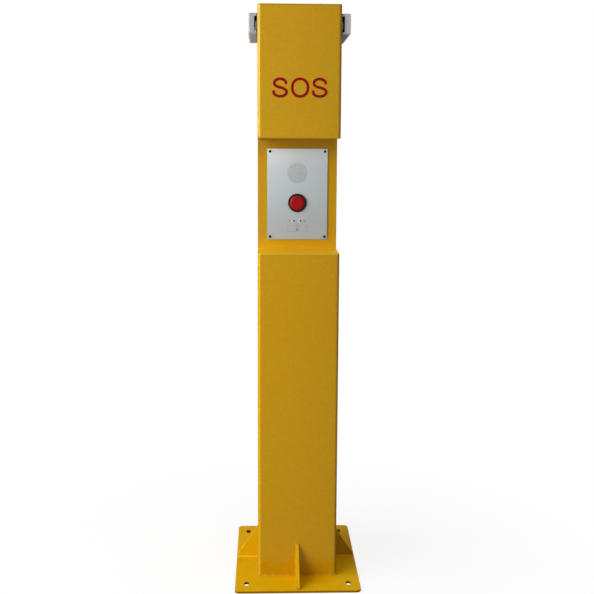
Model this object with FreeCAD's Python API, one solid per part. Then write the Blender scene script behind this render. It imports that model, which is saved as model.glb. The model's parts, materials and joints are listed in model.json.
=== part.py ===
import FreeCAD, Part
import math
import os

from FreeCAD import Vector

# Emergency call column: a folded steel column on an anchor plate, with a set-back
# intercom panel, a red call button and one lamp on each side of the head.
# Millimetres. Origin: centre of the plate's underside. +Z up, front faces -Y.

os.makedirs("parts", exist_ok=True)

# Anchor plate
PLATE_W = 392.0
PLATE_D = 528.0
PLATE_T = 8.0
PLATE_CORNER_R = 15.0
SLOT_W = 15.0
SLOT_L = 28.0
SLOT_EDGE_X = 36.0
SLOT_EDGE_Y = 52.0
CABLE_ENTRY_W = 120.0
CABLE_ENTRY_D = 160.0

# Column
COL_W = 250.0
COL_D = 310.0
COL_H = 1772.0
SHEET = 3.0
BEND_R = 10.0
RECESS_LOW = 1035.0
RECESS_H = 347.0
RECESS_D = 150.0
FOLD_R = 2.0
CAP_EDGE_R = 2.2
CAP_SEAM = 0.6

# Gussets
GUSSET_T = 10.0
GUSSET_H = 104.0
GUSSET_TOE = 10.0
GUSSET_TOP = 3.0
GUSSET_SETBACK = 4.0

# Rear service opening and its cover
WINDOW_W = 190.0
WINDOW_LOW = 150.0
WINDOW_TOP_MARGIN = 40.0
WINDOW_R = 12.0
COVER_LAP = 12.0
COVER_T = 2.0
COVER_GASKET_T = 1.5
COVER_ROWS = 6
COVER_SCREW_R = 2.5
COVER_NUT_FLATS = 8.0
COVER_NUT_T = 4.0

# Intercom panel
PANEL_W = 190.0
PANEL_H = 285.0
PANEL_T = 3.0
PANEL_R = 2.5
PANEL_GASKET_T = 1.5
PANEL_SCREW_INSET = 8.5
PANEL_SCREW_R = 2.0
PANEL_SCREW_HEAD_R = 4.0
PANEL_SCREW_HEAD_H = 3.2
BOX_MARGIN_X = 13.0
BOX_MARGIN_Z = 15.5
BOX_DEPTH = 60.0
BOX_SHEET = 1.5
BOX_FLANGE = 11.0

# Loudspeaker behind its field of holes
GRILLE_UP = 67.0
GRILLE_PITCH = 5.0
GRILLE_RINGS = 6
GRILLE_HOLE_R = 1.25
SPEAKER_SIDE = 76.0
SPEAKER_MAGNET_R = 22.0

# Circuit board in the back box
BOARD_MARGIN_X = 12.0
BOARD_MARGIN_Z = 22.0
BOARD_T = 1.6
BOARD_FIXING_INSET = 8.0
STANDOFF_H = 9.0
STANDOFF_R = 3.5
CHIP_SIDE = 20.0
CHIP_T = 2.0
RELAY_SIDE = 18.0
RELAY_H = 9.0
CAPACITOR_R = 5.0
CAPACITOR_GAP = 5.0
BOARD_TERMINAL_RISE = 17.0
BOARD_TERMINAL_PITCH = 10.0
BOARD_TERMINAL_COUNT = 8

# Call button
BUTTON_DOWN = 27.0
BEZEL_R = 29.0
BEZEL_PROUD = 6.0
CAP_R = 23.5
CAP_H = 7.0
CAP_SLOPE_W = 6.0
CAP_SKIRT_H = 2.2
NECK_R = 19.9
STEM_R = 14.9
CLIP_T = 1.0
CLIP_R = 17.4
BUTTON_TRAVEL = 4.0
SPRING_R = 8.5
SPRING_WIRE_R = 0.8
SPRING_TURNS = 4

# Indicators and microphone
INDICATOR_DOWN = 84.0
INDICATOR_X = 10.6
INDICATOR_R = 6.0
INDICATOR_LENS_R = 3.0
MIC_DOWN = 112.0

# Side lamps
LAMP_LEN = 270.0
LAMP_H = 60.0
LAMP_TOP_MARGIN = 25.0
LAMP_BACK_WALL = 2.0
LAMP_SLOT_W = 7.5
LAMP_SLOT_TOP = 8.0
LAMP_SLOT_LOW = 6.0
LAMP_BODY_W = 12.5
LAMP_LENS_W = 5.5
LAMP_CAP_T = 4.0
LAMP_CAP_BEVEL_H = 5.0
LAMP_CAP_BEVEL_T = 3.0
LAMP_LENS_R = 3.5
LAMP_LENS_WALL = 2.0
LAMP_BOARD_MARGIN = 15.0
LAMP_BOARD_H = 32.0
LAMP_LED_PITCH = 40.0
LAMP_BOLT_Y = 90.0
LAMP_BOLT_R = 2.5
LAMP_NUT_T = 5.0
LAMP_NUT_L = 18.0
LAMP_NUT_H = 24.0
LAMP_CABLE_R = 6.0

# Equipment inside the column
GEAR_W = 180.0
GEAR_H = 300.0
GEAR_LOW = 500.0
GEAR_STANDOFF = 15.0
RAIL_H = 35.0
RAIL_DEPTH = 7.5
RAIL_T = 1.0
RAIL_FLANGE = 4.0
RAIL_LEN = 170.0
RAIL_FROM_TOP = 80.0
RAIL_FROM_LOW = 70.0
SUPPLY_W = 60.0
SUPPLY_H = 110.0
SUPPLY_DEPTH = 80.0
CONTROLLER_W = 72.0
CONTROLLER_H = 90.0
CONTROLLER_DEPTH = 58.0
ARRESTER_W = 36.0
ARRESTER_H = 88.0
ARRESTER_DEPTH = 55.0
TERMINAL_W = 8.0
TERMINAL_H = 48.0
TERMINAL_DEPTH = 36.0
TERMINAL_COUNT = 8

# Clearances
SCREW_CLEARANCE = 0.3
THREAD_CLEARANCE = 0.02
SEAT_CLEARANCE = 0.1
STEM_CLEARANCE = 0.06
BUTTON_END_GAP = 0.2
CLIP_GAP = 0.2
UNIT_GAP = 10.0
TERMINAL_GAP = 0.2

# Derived planes of the column
BASE_TOP = PLATE_T
TOP = BASE_TOP + COL_H
SHELL_TOP = TOP - SHEET
LEDGE_Z = BASE_TOP + RECESS_LOW
HEAD_Z = LEDGE_Z + RECESS_H
FRONT = -COL_D / 2
BACK = COL_D / 2
SIDE = COL_W / 2
RECESS_Y = FRONT + RECESS_D
RECESS_BACK_Y = RECESS_Y + SHEET

# Derived planes of the intercom
PANEL_Z = (LEDGE_Z + HEAD_Z) / 2
PANEL_BACK_Y = RECESS_Y - PANEL_GASKET_T
PANEL_FRONT_Y = PANEL_BACK_Y - PANEL_T
BUTTON_Z = PANEL_Z - BUTTON_DOWN
GRILLE_Z = PANEL_Z + GRILLE_UP
INDICATOR_Z = PANEL_Z - INDICATOR_DOWN
MIC_Z = PANEL_Z - MIC_DOWN
BOX_W = PANEL_W - 2 * BOX_MARGIN_X
BOX_H = PANEL_H - 2 * BOX_MARGIN_Z
BOX_INNER_BACK = RECESS_BACK_Y + BOX_DEPTH - BOX_SHEET
BOARD_BACK_Y = BOX_INNER_BACK - STANDOFF_H
BOARD_FACE_Y = BOARD_BACK_Y - BOARD_T
BOARD_HALF_W = BOX_W / 2 - BOARD_MARGIN_X
BOARD_HALF_H = BOX_H / 2 - BOARD_MARGIN_Z
BUTTON_NECK_END = PANEL_BACK_Y + 14.5
CONTACT_FRONT = BUTTON_NECK_END + 7.0

# Derived planes of the rear cover
WINDOW_Z0 = BASE_TOP + WINDOW_LOW
WINDOW_Z1 = TOP - WINDOW_TOP_MARGIN
COVER_GASKET_BACK = BACK + COVER_GASKET_T
COVER_BACK = COVER_GASKET_BACK + COVER_T

# Derived planes of the side lamps, measured outward from the column's side
LAMP_TOP = TOP - LAMP_TOP_MARGIN
LAMP_LOW = LAMP_TOP - LAMP_H
LAMP_SLOT_IN = SIDE + LAMP_BACK_WALL
LAMP_SLOT_OUT = LAMP_SLOT_IN + LAMP_SLOT_W
LAMP_BODY_OUT = LAMP_SLOT_OUT + LAMP_BODY_W
LAMP_OUT = LAMP_BODY_OUT + LAMP_LENS_W
LAMP_MID_Z = (LAMP_LOW + LAMP_SLOT_LOW + LAMP_TOP - LAMP_SLOT_TOP) / 2

# Derived planes of the inner equipment
GEAR_BACK_Y = FRONT + SHEET + GEAR_STANDOFF
GEAR_FRONT_Y = GEAR_BACK_Y + 2.0
RAIL_FACE_Y = GEAR_FRONT_Y + RAIL_DEPTH
GEAR_Z0 = BASE_TOP + GEAR_LOW
GEAR_Z1 = GEAR_Z0 + GEAR_H
UPPER_RAIL_Z = GEAR_Z1 - RAIL_FROM_TOP
LOWER_RAIL_Z = GEAR_Z0 + RAIL_FROM_LOW
RAIL_END_X = -RAIL_LEN / 2


def block(x0, x1, y0, y1, z0, z1):
    return Part.makeBox(x1 - x0, y1 - y0, z1 - z0, Vector(x0, y0, z0))


def rod_x(y, z, radius, x0, x1):
    return Part.makeCylinder(radius, x1 - x0, Vector(x0, y, z), Vector(1, 0, 0))


def rod_y(x, z, radius, y0, y1):
    return Part.makeCylinder(radius, y1 - y0, Vector(x, y0, z), Vector(0, 1, 0))


def rod_z(x, y, radius, z0, z1):
    return Part.makeCylinder(radius, z1 - z0, Vector(x, y, z0), Vector(0, 0, 1))


def cone_y(x, z, radius0, radius1, y0, y1):
    return Part.makeCone(radius0, radius1, y1 - y0, Vector(x, y0, z), Vector(0, 1, 0))


def edges_along(shape, axis):
    found = []
    for edge in shape.Edges:
        if len(edge.Vertexes) != 2:
            continue
        step = edge.Vertexes[1].Point - edge.Vertexes[0].Point
        if step.Length > 0 and abs(abs(step.dot(axis)) - step.Length) < 1e-6:
            found.append(edge)
    return found


def rounded(shape, radius, axis):
    return shape.makeFillet(radius, edges_along(shape, axis))


def prism(points, direction):
    outline = Part.makePolygon(points + [points[0]])
    return Part.Face(outline).extrude(direction)


def hexagon_y(x, z, across_flats, y0, y1):
    radius = across_flats / math.sqrt(3)
    corners = []
    for step in range(6):
        turn = math.radians(60 * step)
        corners.append(Vector(x + radius * math.cos(turn), y0, z + radius * math.sin(turn)))
    return prism(corners, Vector(0, y1 - y0, 0))


def group(solids):
    return Part.makeCompound(solids)


def mirrored(shape):
    return shape.mirror(Vector(0, 0, 0), Vector(1, 0, 0))


def save(node, shape):
    shape.exportStep("parts/" + node + ".step")


# Places shared by several pieces

def anchor_slot_points():
    x = PLATE_W / 2 - SLOT_EDGE_X
    y = PLATE_D / 2 - SLOT_EDGE_Y
    return [(-x, -y), (x, -y), (-x, y), (x, y)]


def panel_screw_points():
    x = PANEL_W / 2 - PANEL_SCREW_INSET
    z = PANEL_H / 2 - PANEL_SCREW_INSET
    return [(-x, PANEL_Z - z), (x, PANEL_Z - z), (-x, PANEL_Z + z), (x, PANEL_Z + z)]


def cover_screw_points():
    x = WINDOW_W / 2 + COVER_LAP / 2
    first = WINDOW_Z0 + 30
    pitch = (WINDOW_Z1 - 30 - first) / (COVER_ROWS - 1)
    points = []
    for row in range(COVER_ROWS):
        points.append((-x, first + row * pitch))
        points.append((x, first + row * pitch))
    return points


def speaker_fixing_points():
    reach = SPEAKER_SIDE / 2 - 5
    return [
        (-reach, GRILLE_Z - reach),
        (reach, GRILLE_Z - reach),
        (-reach, GRILLE_Z + reach),
        (reach, GRILLE_Z + reach),
    ]


def grille_points():
    points = [(0.0, GRILLE_Z)]
    for ring in range(1, GRILLE_RINGS + 1):
        for step in range(6 * ring):
            turn = math.radians(90 + 60 * step / ring)
            reach = ring * GRILLE_PITCH
            points.append((reach * math.cos(turn), GRILLE_Z + reach * math.sin(turn)))
    return points


def board_fixing_points():
    x = BOARD_HALF_W - BOARD_FIXING_INSET
    z = BOARD_HALF_H - BOARD_FIXING_INSET
    return [(-x, PANEL_Z - z), (x, PANEL_Z - z), (-x, PANEL_Z + z), (x, PANEL_Z + z)]


def gear_fixing_points():
    x = GEAR_W / 2 - 12
    return [(-x, GEAR_Z0 + 12), (x, GEAR_Z0 + 12), (-x, GEAR_Z1 - 12), (x, GEAR_Z1 - 12)]


def column_prism(z0, z1, inset):
    body = block(
        -SIDE + inset, SIDE - inset,
        FRONT + inset, BACK - inset,
        z0, z1,
    )
    return rounded(body, BEND_R - inset, Vector(0, 0, 1))


# Steelwork

def anchor_slot(x, y):
    # Long hole, so that the column can be shifted a little on its anchor bolts.
    slot_r = SLOT_W / 2
    reach = SLOT_L / 2 - slot_r
    hole = block(-slot_r, slot_r, -reach, reach, -1, PLATE_T + 1)
    hole = hole.fuse(rod_z(0, -reach, slot_r, -1, PLATE_T + 1))
    hole = hole.fuse(rod_z(0, reach, slot_r, -1, PLATE_T + 1))
    hole.translate(Vector(x, y, 0))
    return hole


def base_plate():
    hx = PLATE_W / 2
    hy = PLATE_D / 2
    plate = rounded(block(-hx, hx, -hy, hy, 0, PLATE_T), PLATE_CORNER_R, Vector(0, 0, 1))
    for x, y in anchor_slot_points():
        plate = plate.cut(anchor_slot(x, y))
    ex = CABLE_ENTRY_W / 2
    ey = CABLE_ENTRY_D / 2
    entry = block(-ex, ex, -ey, ey, -1, PLATE_T + 1)
    return plate.cut(rounded(entry, 10, Vector(0, 0, 1)))


def gusset(length):
    # Profile in the XZ plane, welded edge at x = 0, toe outward along +X.
    points = [
        Vector(0, -GUSSET_T / 2, 0),
        Vector(length, -GUSSET_T / 2, 0),
        Vector(length, -GUSSET_T / 2, GUSSET_TOE),
        Vector(GUSSET_TOP, -GUSSET_T / 2, GUSSET_H),
        Vector(0, -GUSSET_T / 2, GUSSET_H),
    ]
    return prism(points, Vector(0, GUSSET_T, 0))


def placed_gusset(length, turn_deg, x, y):
    plate = gusset(length)
    plate.rotate(Vector(0, 0, 0), Vector(0, 0, 1), turn_deg)
    plate.translate(Vector(x, y, BASE_TOP))
    return plate


def side_gusset_length():
    return PLATE_W / 2 - SIDE - GUSSET_SETBACK


def end_gusset_length():
    return PLATE_D / 2 - BACK - GUSSET_SETBACK


def recess_cut():
    # The room that the folded recess insert takes out of the column.
    cut = block(
        -SIDE - 1, SIDE + 1,
        FRONT - 1, RECESS_BACK_Y,
        LEDGE_Z - SHEET, HEAD_Z + SHEET,
    )
    rear_edges = []
    for edge in edges_along(cut, Vector(1, 0, 0)):
        if edge.Vertexes[0].Y > FRONT:
            rear_edges.append(edge)
    return cut.makeFillet(FOLD_R + SHEET, rear_edges)


def column_shell():
    shell = column_prism(BASE_TOP, SHELL_TOP, 0)
    shell = shell.cut(column_prism(BASE_TOP - 1, SHELL_TOP + 1, SHEET))
    shell = shell.cut(recess_cut())
    window = block(-WINDOW_W / 2, WINDOW_W / 2, BACK - 10, BACK + 10, WINDOW_Z0, WINDOW_Z1)
    shell = shell.cut(rounded(window, WINDOW_R, Vector(0, 1, 0)))
    for x, z in cover_screw_points():
        shell = shell.cut(rod_y(x, z, COVER_SCREW_R + SCREW_CLEARANCE, BACK - 10, BACK + 1))
    for y in (-LAMP_BOLT_Y, LAMP_BOLT_Y):
        hole = rod_x(y, LAMP_MID_Z, LAMP_BOLT_R + SCREW_CLEARANCE, -SIDE - 1, SIDE + 1)
        shell = shell.cut(hole)
    return shell.cut(rod_x(0, LAMP_MID_Z, LAMP_CABLE_R, -SIDE - 1, SIDE + 1))


def recess_insert():
    outer = recess_cut().common(column_prism(LEDGE_Z - SHEET, HEAD_Z + SHEET, 0))
    inner = block(-SIDE - 2, SIDE + 2, FRONT - 2, RECESS_Y, LEDGE_Z, HEAD_Z)
    rear_edges = []
    for edge in edges_along(inner, Vector(1, 0, 0)):
        if edge.Vertexes[0].Y > FRONT:
            rear_edges.append(edge)
    insert = outer.cut(inner.makeFillet(FOLD_R, rear_edges))
    hx = BOX_W / 2 - BOX_SHEET
    hz = BOX_H / 2 - BOX_SHEET
    window = block(-hx, hx, RECESS_Y - 1, RECESS_BACK_Y + 1, PANEL_Z - hz, PANEL_Z + hz)
    insert = insert.cut(rounded(window, 4, Vector(0, 1, 0)))
    for x, z in panel_screw_points():
        hole = rod_y(x, z, PANEL_SCREW_R + SCREW_CLEARANCE, RECESS_Y - 1, RECESS_BACK_Y + 1)
        insert = insert.cut(hole)
    return insert


def top_cap():
    # Welded lid: rounded upper rim, and a narrow seam where it meets the column.
    lid = column_prism(SHELL_TOP, TOP, 0)
    rim = [edge for edge in lid.Edges if edge.BoundBox.ZMin > TOP - 0.001]
    lid = lid.makeFillet(CAP_EDGE_R, rim)
    seam = [edge for edge in lid.Edges if edge.BoundBox.ZMax < SHELL_TOP + 0.001]
    return lid.makeChamfer(CAP_SEAM, seam)


# Rear service cover

def cover_frame(lap, y0, y1):
    hx = WINDOW_W / 2 + lap
    frame = block(-hx, hx, y0, y1, WINDOW_Z0 - lap, WINDOW_Z1 + lap)
    frame = rounded(frame, WINDOW_R, Vector(0, 1, 0))
    for x, z in cover_screw_points():
        frame = frame.cut(rod_y(x, z, COVER_SCREW_R + SCREW_CLEARANCE, y0 - 1, y1 + 1))
    return frame


def rear_cover():
    return cover_frame(COVER_LAP, COVER_GASKET_BACK, COVER_BACK)


def rear_cover_gasket():
    ring = cover_frame(COVER_LAP - 0.5, BACK, COVER_GASKET_BACK)
    hx = WINDOW_W / 2
    window = block(-hx, hx, BACK - 1, COVER_GASKET_BACK + 1, WINDOW_Z0, WINDOW_Z1)
    return ring.cut(rounded(window, WINDOW_R, Vector(0, 1, 0)))


def button_head_screw(x, z, face_y, length, shank_r):
    shank = rod_y(x, z, shank_r, face_y - length, face_y)
    head = cone_y(x, z, shank_r * 1.9, shank_r * 1.2, face_y, face_y + shank_r * 1.1)
    socket = hexagon_y(x, z, shank_r * 1.2, face_y + shank_r * 0.4, face_y + shank_r * 2)
    return shank.fuse(head).cut(socket)


def rear_cover_screws():
    return group([
        button_head_screw(x, z, COVER_BACK, 10.5, COVER_SCREW_R)
        for x, z in cover_screw_points()
    ])


def rear_cover_nuts():
    nuts = []
    for x, z in cover_screw_points():
        nut = hexagon_y(x, z, COVER_NUT_FLATS, BACK - SHEET - COVER_NUT_T, BACK - SHEET)
        bore = rod_y(x, z, COVER_SCREW_R + THREAD_CLEARANCE, BACK - 10, BACK)
        nuts.append(nut.cut(bore))
    return group(nuts)


# Intercom

def intercom_panel():
    hx = PANEL_W / 2
    hz = PANEL_H / 2
    plate = block(-hx, hx, PANEL_FRONT_Y, PANEL_BACK_Y, PANEL_Z - hz, PANEL_Z + hz)
    plate = rounded(plate, PANEL_R, Vector(0, 1, 0))
    y0 = PANEL_FRONT_Y - 1
    y1 = PANEL_BACK_Y + 1
    cutters = [rod_y(x, z, GRILLE_HOLE_R, y0, y1) for x, z in grille_points()]
    cutters += [
        rod_y(x, z, PANEL_SCREW_R + SCREW_CLEARANCE, y0, y1)
        for x, z in panel_screw_points()
    ]
    cutters += [rod_y(x, INDICATOR_Z, 4.0, y0, y1) for x in (-INDICATOR_X, INDICATOR_X)]
    cutters.append(rod_y(0, BUTTON_Z, NECK_R + SCREW_CLEARANCE, y0, y1))
    cutters.append(rod_y(0, MIC_Z, 1.5, y0, y1))
    return plate.cut(cutters)


def panel_gasket():
    hx = PANEL_W / 2 - 1
    hz = PANEL_H / 2 - 1
    ring = block(-hx, hx, PANEL_BACK_Y, RECESS_Y, PANEL_Z - hz, PANEL_Z + hz)
    hx = BOX_W / 2 - BOX_SHEET
    hz = BOX_H / 2 - BOX_SHEET
    ring = ring.cut(block(-hx, hx, PANEL_BACK_Y - 1, RECESS_Y + 1, PANEL_Z - hz, PANEL_Z + hz))
    for x, z in panel_screw_points():
        hole = rod_y(x, z, PANEL_SCREW_R + SCREW_CLEARANCE, PANEL_BACK_Y - 1, RECESS_Y + 1)
        ring = ring.cut(hole)
    return ring


def gland_place():
    return 0.0, RECESS_BACK_Y + BOX_DEPTH / 2, PANEL_Z - BOX_H / 2


def back_box():
    hx = BOX_W / 2
    hz = BOX_H / 2
    back = RECESS_BACK_Y + BOX_DEPTH
    body = block(-hx, hx, RECESS_BACK_Y, back, PANEL_Z - hz, PANEL_Z + hz)
    flange = block(
        -hx - BOX_FLANGE, hx + BOX_FLANGE,
        RECESS_BACK_Y, RECESS_BACK_Y + BOX_SHEET,
        PANEL_Z - hz - BOX_FLANGE, PANEL_Z + hz + BOX_FLANGE,
    )
    hollow = block(
        -hx + BOX_SHEET, hx - BOX_SHEET,
        RECESS_BACK_Y - 1, back - BOX_SHEET,
        PANEL_Z - hz + BOX_SHEET, PANEL_Z + hz - BOX_SHEET,
    )
    box = body.fuse(flange).cut(hollow)
    for x, z in panel_screw_points():
        hole = rod_y(x, z, PANEL_SCREW_R + SCREW_CLEARANCE, RECESS_BACK_Y - 1, RECESS_BACK_Y + 3)
        box = box.cut(hole)
    x, y, z = gland_place()
    return box.cut(rod_z(x, y, 8.2, z - 1, z + BOX_SHEET + 1))


def panel_screws():
    screws = []
    for x, z in panel_screw_points():
        shank = rod_y(x, z, PANEL_SCREW_R, PANEL_FRONT_Y, RECESS_BACK_Y + 6)
        front = PANEL_FRONT_Y - PANEL_SCREW_HEAD_H
        head = rod_y(x, z, PANEL_SCREW_HEAD_R, front, PANEL_FRONT_Y)
        socket = hexagon_y(x, z, 3, front - 1, front + 2)
        screws.append(shank.fuse(head).cut(socket))
    return group(screws)


def panel_nuts():
    nuts = []
    y0 = RECESS_BACK_Y + BOX_SHEET
    for x, z in panel_screw_points():
        nut = hexagon_y(x, z, 7, y0, y0 + 3.2)
        bore = rod_y(x, z, PANEL_SCREW_R + THREAD_CLEARANCE, y0 - 1, y0 + 5)
        nuts.append(nut.cut(bore))
    return group(nuts)


def speaker_gasket():
    half = SPEAKER_SIDE / 2
    y0 = PANEL_BACK_Y
    y1 = y0 + 1.5
    pad = block(-half, half, y0, y1, GRILLE_Z - half, GRILLE_Z + half)
    pad = pad.cut(rod_y(0, GRILLE_Z, 33, y0 - 1, y1 + 1))
    for x, z in speaker_fixing_points():
        pad = pad.cut(rod_y(x, z, 2.2, y0 - 1, y1 + 1))
    return pad


def speaker_frame():
    half = SPEAKER_SIDE / 2
    y0 = PANEL_BACK_Y + 1.5
    flange = block(-half, half, y0, y0 + 1.2, GRILLE_Z - half, GRILLE_Z + half)
    flange = rounded(flange, 4, Vector(0, 1, 0))
    basket = cone_y(0, GRILLE_Z, 34, 21, y0 + 1.2, y0 + 16)
    frame = flange.fuse(basket)
    frame = frame.cut(rod_y(0, GRILLE_Z, 32, y0 - 1, y0 + 1.2))
    frame = frame.cut(cone_y(0, GRILLE_Z, 32.5, 19.5, y0 + 1.2, y0 + 14.5))
    for x, z in speaker_fixing_points():
        frame = frame.cut(rod_y(x, z, 2.2, y0 - 1, y0 + 3))
    return frame


def speaker_cone():
    # Dished paper cone whose edge is held in the frame's front ring.
    y0 = PANEL_BACK_Y + 1.5
    rim = rod_y(0, GRILLE_Z, 32 - THREAD_CLEARANCE, y0, y0 + 1.2)
    outside = cone_y(0, GRILLE_Z, 30, 13, y0 + 1.2, y0 + 10)
    hollow = cone_y(0, GRILLE_Z, 30, 12, y0 - 0.1, y0 + 9.2)
    return rim.fuse(outside).cut(hollow)


def speaker_magnet():
    y0 = PANEL_BACK_Y + 17.5
    magnet = rod_y(0, GRILLE_Z, SPEAKER_MAGNET_R, y0, y0 + 9)
    plate = rod_y(0, GRILLE_Z, SPEAKER_MAGNET_R - 3, y0 + 9, y0 + 12)
    return magnet.fuse(plate)


def speaker_fixings():
    pieces = []
    y0 = PANEL_BACK_Y
    for x, z in speaker_fixing_points():
        stud = rod_y(x, z, 2, y0, y0 + 8)
        nut = hexagon_y(x, z, 7, y0 + 2.7, y0 + 5.9)
        pieces.append(stud.fuse(nut))
    return group(pieces)


def button_bezel():
    front = PANEL_FRONT_Y - BEZEL_PROUD
    floor = PANEL_FRONT_Y - 1.5
    ring = rod_y(0, BUTTON_Z, BEZEL_R, front, PANEL_FRONT_Y)
    ring = ring.makeFillet(1.2, front_rims(ring, front))
    neck = rod_y(0, BUTTON_Z, NECK_R, PANEL_FRONT_Y, BUTTON_NECK_END)
    pocket = rod_y(0, BUTTON_Z, CAP_R + 0.4, front - 1, floor)
    bore = rod_y(0, BUTTON_Z, STEM_R + STEM_CLEARANCE, front - 1, BUTTON_NECK_END + 1)
    return ring.fuse(neck).cut(pocket).cut(bore)


def front_rims(shape, y):
    rims = []
    for edge in shape.Edges:
        box = edge.BoundBox
        if abs(box.YMin - y) < 1e-6 and abs(box.YMax - y) < 1e-6:
            rims.append(edge)
    return rims


def cap_seat_y():
    # Underside of the cap at rest: one full travel above the bezel's floor.
    return PANEL_FRONT_Y - 1.5 - BUTTON_TRAVEL - BUTTON_END_GAP


def button_cap():
    seat = cap_seat_y()
    front = seat - CAP_H
    skirt_y = seat - CAP_SKIRT_H
    skirt = rod_y(0, BUTTON_Z, CAP_R, skirt_y, seat)
    slope = cone_y(0, BUTTON_Z, CAP_R - CAP_SLOPE_W, CAP_R, front, skirt_y)
    head = skirt.fuse(slope).removeSplitter()
    head = head.makeFillet(1.5, front_rims(head, front))
    stem = rod_y(0, BUTTON_Z, STEM_R, seat, BUTTON_NECK_END + 2)
    hollow = rod_y(0, BUTTON_Z, 11, seat + 2, BUTTON_NECK_END + 3)
    y0 = BUTTON_NECK_END + CLIP_GAP
    groove = rod_y(0, BUTTON_Z, STEM_R + 1, y0, y0 + CLIP_T)
    groove = groove.cut(rod_y(0, BUTTON_Z, STEM_R - 1, y0 - 1, y0 + CLIP_T + 1))
    plunger = rod_y(0, BUTTON_Z, 3, seat + 2, CONTACT_FRONT + 3)
    return head.fuse(stem).cut(hollow).cut(groove).fuse(plunger)


def button_clip():
    # Retaining ring in the stem's groove: it stops the cap from pulling out.
    y0 = BUTTON_NECK_END + CLIP_GAP
    ring = rod_y(0, BUTTON_Z, CLIP_R, y0, y0 + CLIP_T)
    return ring.cut(rod_y(0, BUTTON_Z, STEM_R - 1, y0 - 1, y0 + CLIP_T + 1))


def button_spring():
    y0 = cap_seat_y() + 2
    length = CONTACT_FRONT - y0
    rise = length - 2 * SPRING_WIRE_R
    helix = Part.makeHelix(rise / SPRING_TURNS, rise, SPRING_R)
    start = Vector(SPRING_R, 0, 0)
    wire = Part.Wire([Part.makeCircle(SPRING_WIRE_R, start, Vector(0, 1, 0))])
    coil = Part.Wire(helix.Edges).makePipeShell([wire], True, True)
    coil.rotate(Vector(0, 0, 0), Vector(1, 0, 0), -90)
    coil.translate(Vector(0, y0 + SPRING_WIRE_R, BUTTON_Z))
    return coil


def button_nut():
    y0 = PANEL_BACK_Y
    ring = rod_y(0, BUTTON_Z, 26, y0, y0 + 5)
    for step in range(6):
        turn = math.radians(60 * step)
        notch = rod_y(26 * math.cos(turn), BUTTON_Z + 26 * math.sin(turn), 2.5, y0 - 1, y0 + 6)
        ring = ring.cut(notch)
    return ring.cut(rod_y(0, BUTTON_Z, NECK_R + SEAT_CLEARANCE, y0 - 1, y0 + 6))


def contact_holder():
    y0 = PANEL_BACK_Y + 7
    sleeve = rod_y(0, BUTTON_Z, 23, y0, CONTACT_FRONT)
    return sleeve.cut(rod_y(0, BUTTON_Z, NECK_R + SEAT_CLEARANCE, y0 - 1, CONTACT_FRONT + 1))


def contact_block():
    z0 = BUTTON_Z - 22
    z1 = BUTTON_Z + 22
    body = rounded(block(-20, 20, CONTACT_FRONT, CONTACT_FRONT + 16, z0, z1), 2, Vector(0, 1, 0))
    flange = rod_y(0, BUTTON_Z, 23, CONTACT_FRONT, CONTACT_FRONT + 2)
    body = body.fuse(flange)
    body = body.cut(rod_y(0, BUTTON_Z, 3.3, CONTACT_FRONT - 1, CONTACT_FRONT + 9))
    for x in (-12, 12):
        for z in (BUTTON_Z - 15, BUTTON_Z + 15):
            body = body.cut(rod_y(x, z, 2.5, CONTACT_FRONT + 12, CONTACT_FRONT + 17))
    return body


def indicator_bezel(x):
    front = PANEL_FRONT_Y - 1.5
    rim = cone_y(x, INDICATOR_Z, INDICATOR_R - 0.8, INDICATOR_R, front, PANEL_FRONT_Y)
    barrel = rod_y(x, INDICATOR_Z, 3.9, PANEL_FRONT_Y, PANEL_BACK_Y + 12)
    nut = hexagon_y(x, INDICATOR_Z, 10, PANEL_BACK_Y, PANEL_BACK_Y + 2.5)
    bore = rod_y(x, INDICATOR_Z, INDICATOR_LENS_R + 0.05, front - 1, PANEL_BACK_Y + 5)
    return rim.fuse(barrel).fuse(nut).cut(bore)


def indicator_lens(x):
    front = PANEL_FRONT_Y - 1.2
    barrel = rod_y(x, INDICATOR_Z, INDICATOR_LENS_R, front, PANEL_BACK_Y + 5)
    return barrel.makeFillet(1.0, front_rims(barrel, front))


def microphone_boot():
    y0 = PANEL_BACK_Y
    boot = rod_y(0, MIC_Z, 8, y0, y0 + 9)
    boot = boot.cut(rod_y(0, MIC_Z, 4.9, y0 + 2, y0 + 10))
    return boot.cut(rod_y(0, MIC_Z, 1.5, y0 - 1, y0 + 3))


def microphone():
    return rod_y(0, MIC_Z, 4.85, PANEL_BACK_Y + 2, PANEL_BACK_Y + 8)


def circuit_board():
    board = block(
        -BOARD_HALF_W, BOARD_HALF_W,
        BOARD_FACE_Y, BOARD_BACK_Y,
        PANEL_Z - BOARD_HALF_H, PANEL_Z + BOARD_HALF_H,
    )
    for x, z in board_fixing_points():
        board = board.cut(rod_y(x, z, 1.7, BOARD_FACE_Y - 1, BOARD_BACK_Y + 1))
    return board


def board_standoffs():
    return group([
        rod_y(x, z, STANDOFF_R, BOARD_BACK_Y, BOX_INNER_BACK)
        for x, z in board_fixing_points()
    ])


def board_screws():
    screws = []
    for x, z in board_fixing_points():
        head = rod_y(x, z, 2.8, BOARD_FACE_Y - 2, BOARD_FACE_Y)
        shank = rod_y(x, z, 1.5, BOARD_FACE_Y, BOARD_BACK_Y)
        screws.append(head.fuse(shank))
    return group(screws)


def board_block(across, rise, side, height):
    # across and rise: the middle, as shares of the board's half width and half height.
    x = across * BOARD_HALF_W
    z = PANEL_Z + rise * BOARD_HALF_H
    half = side / 2
    return block(x - half, x + half, BOARD_FACE_Y - height, BOARD_FACE_Y, z - half, z + half)


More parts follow.
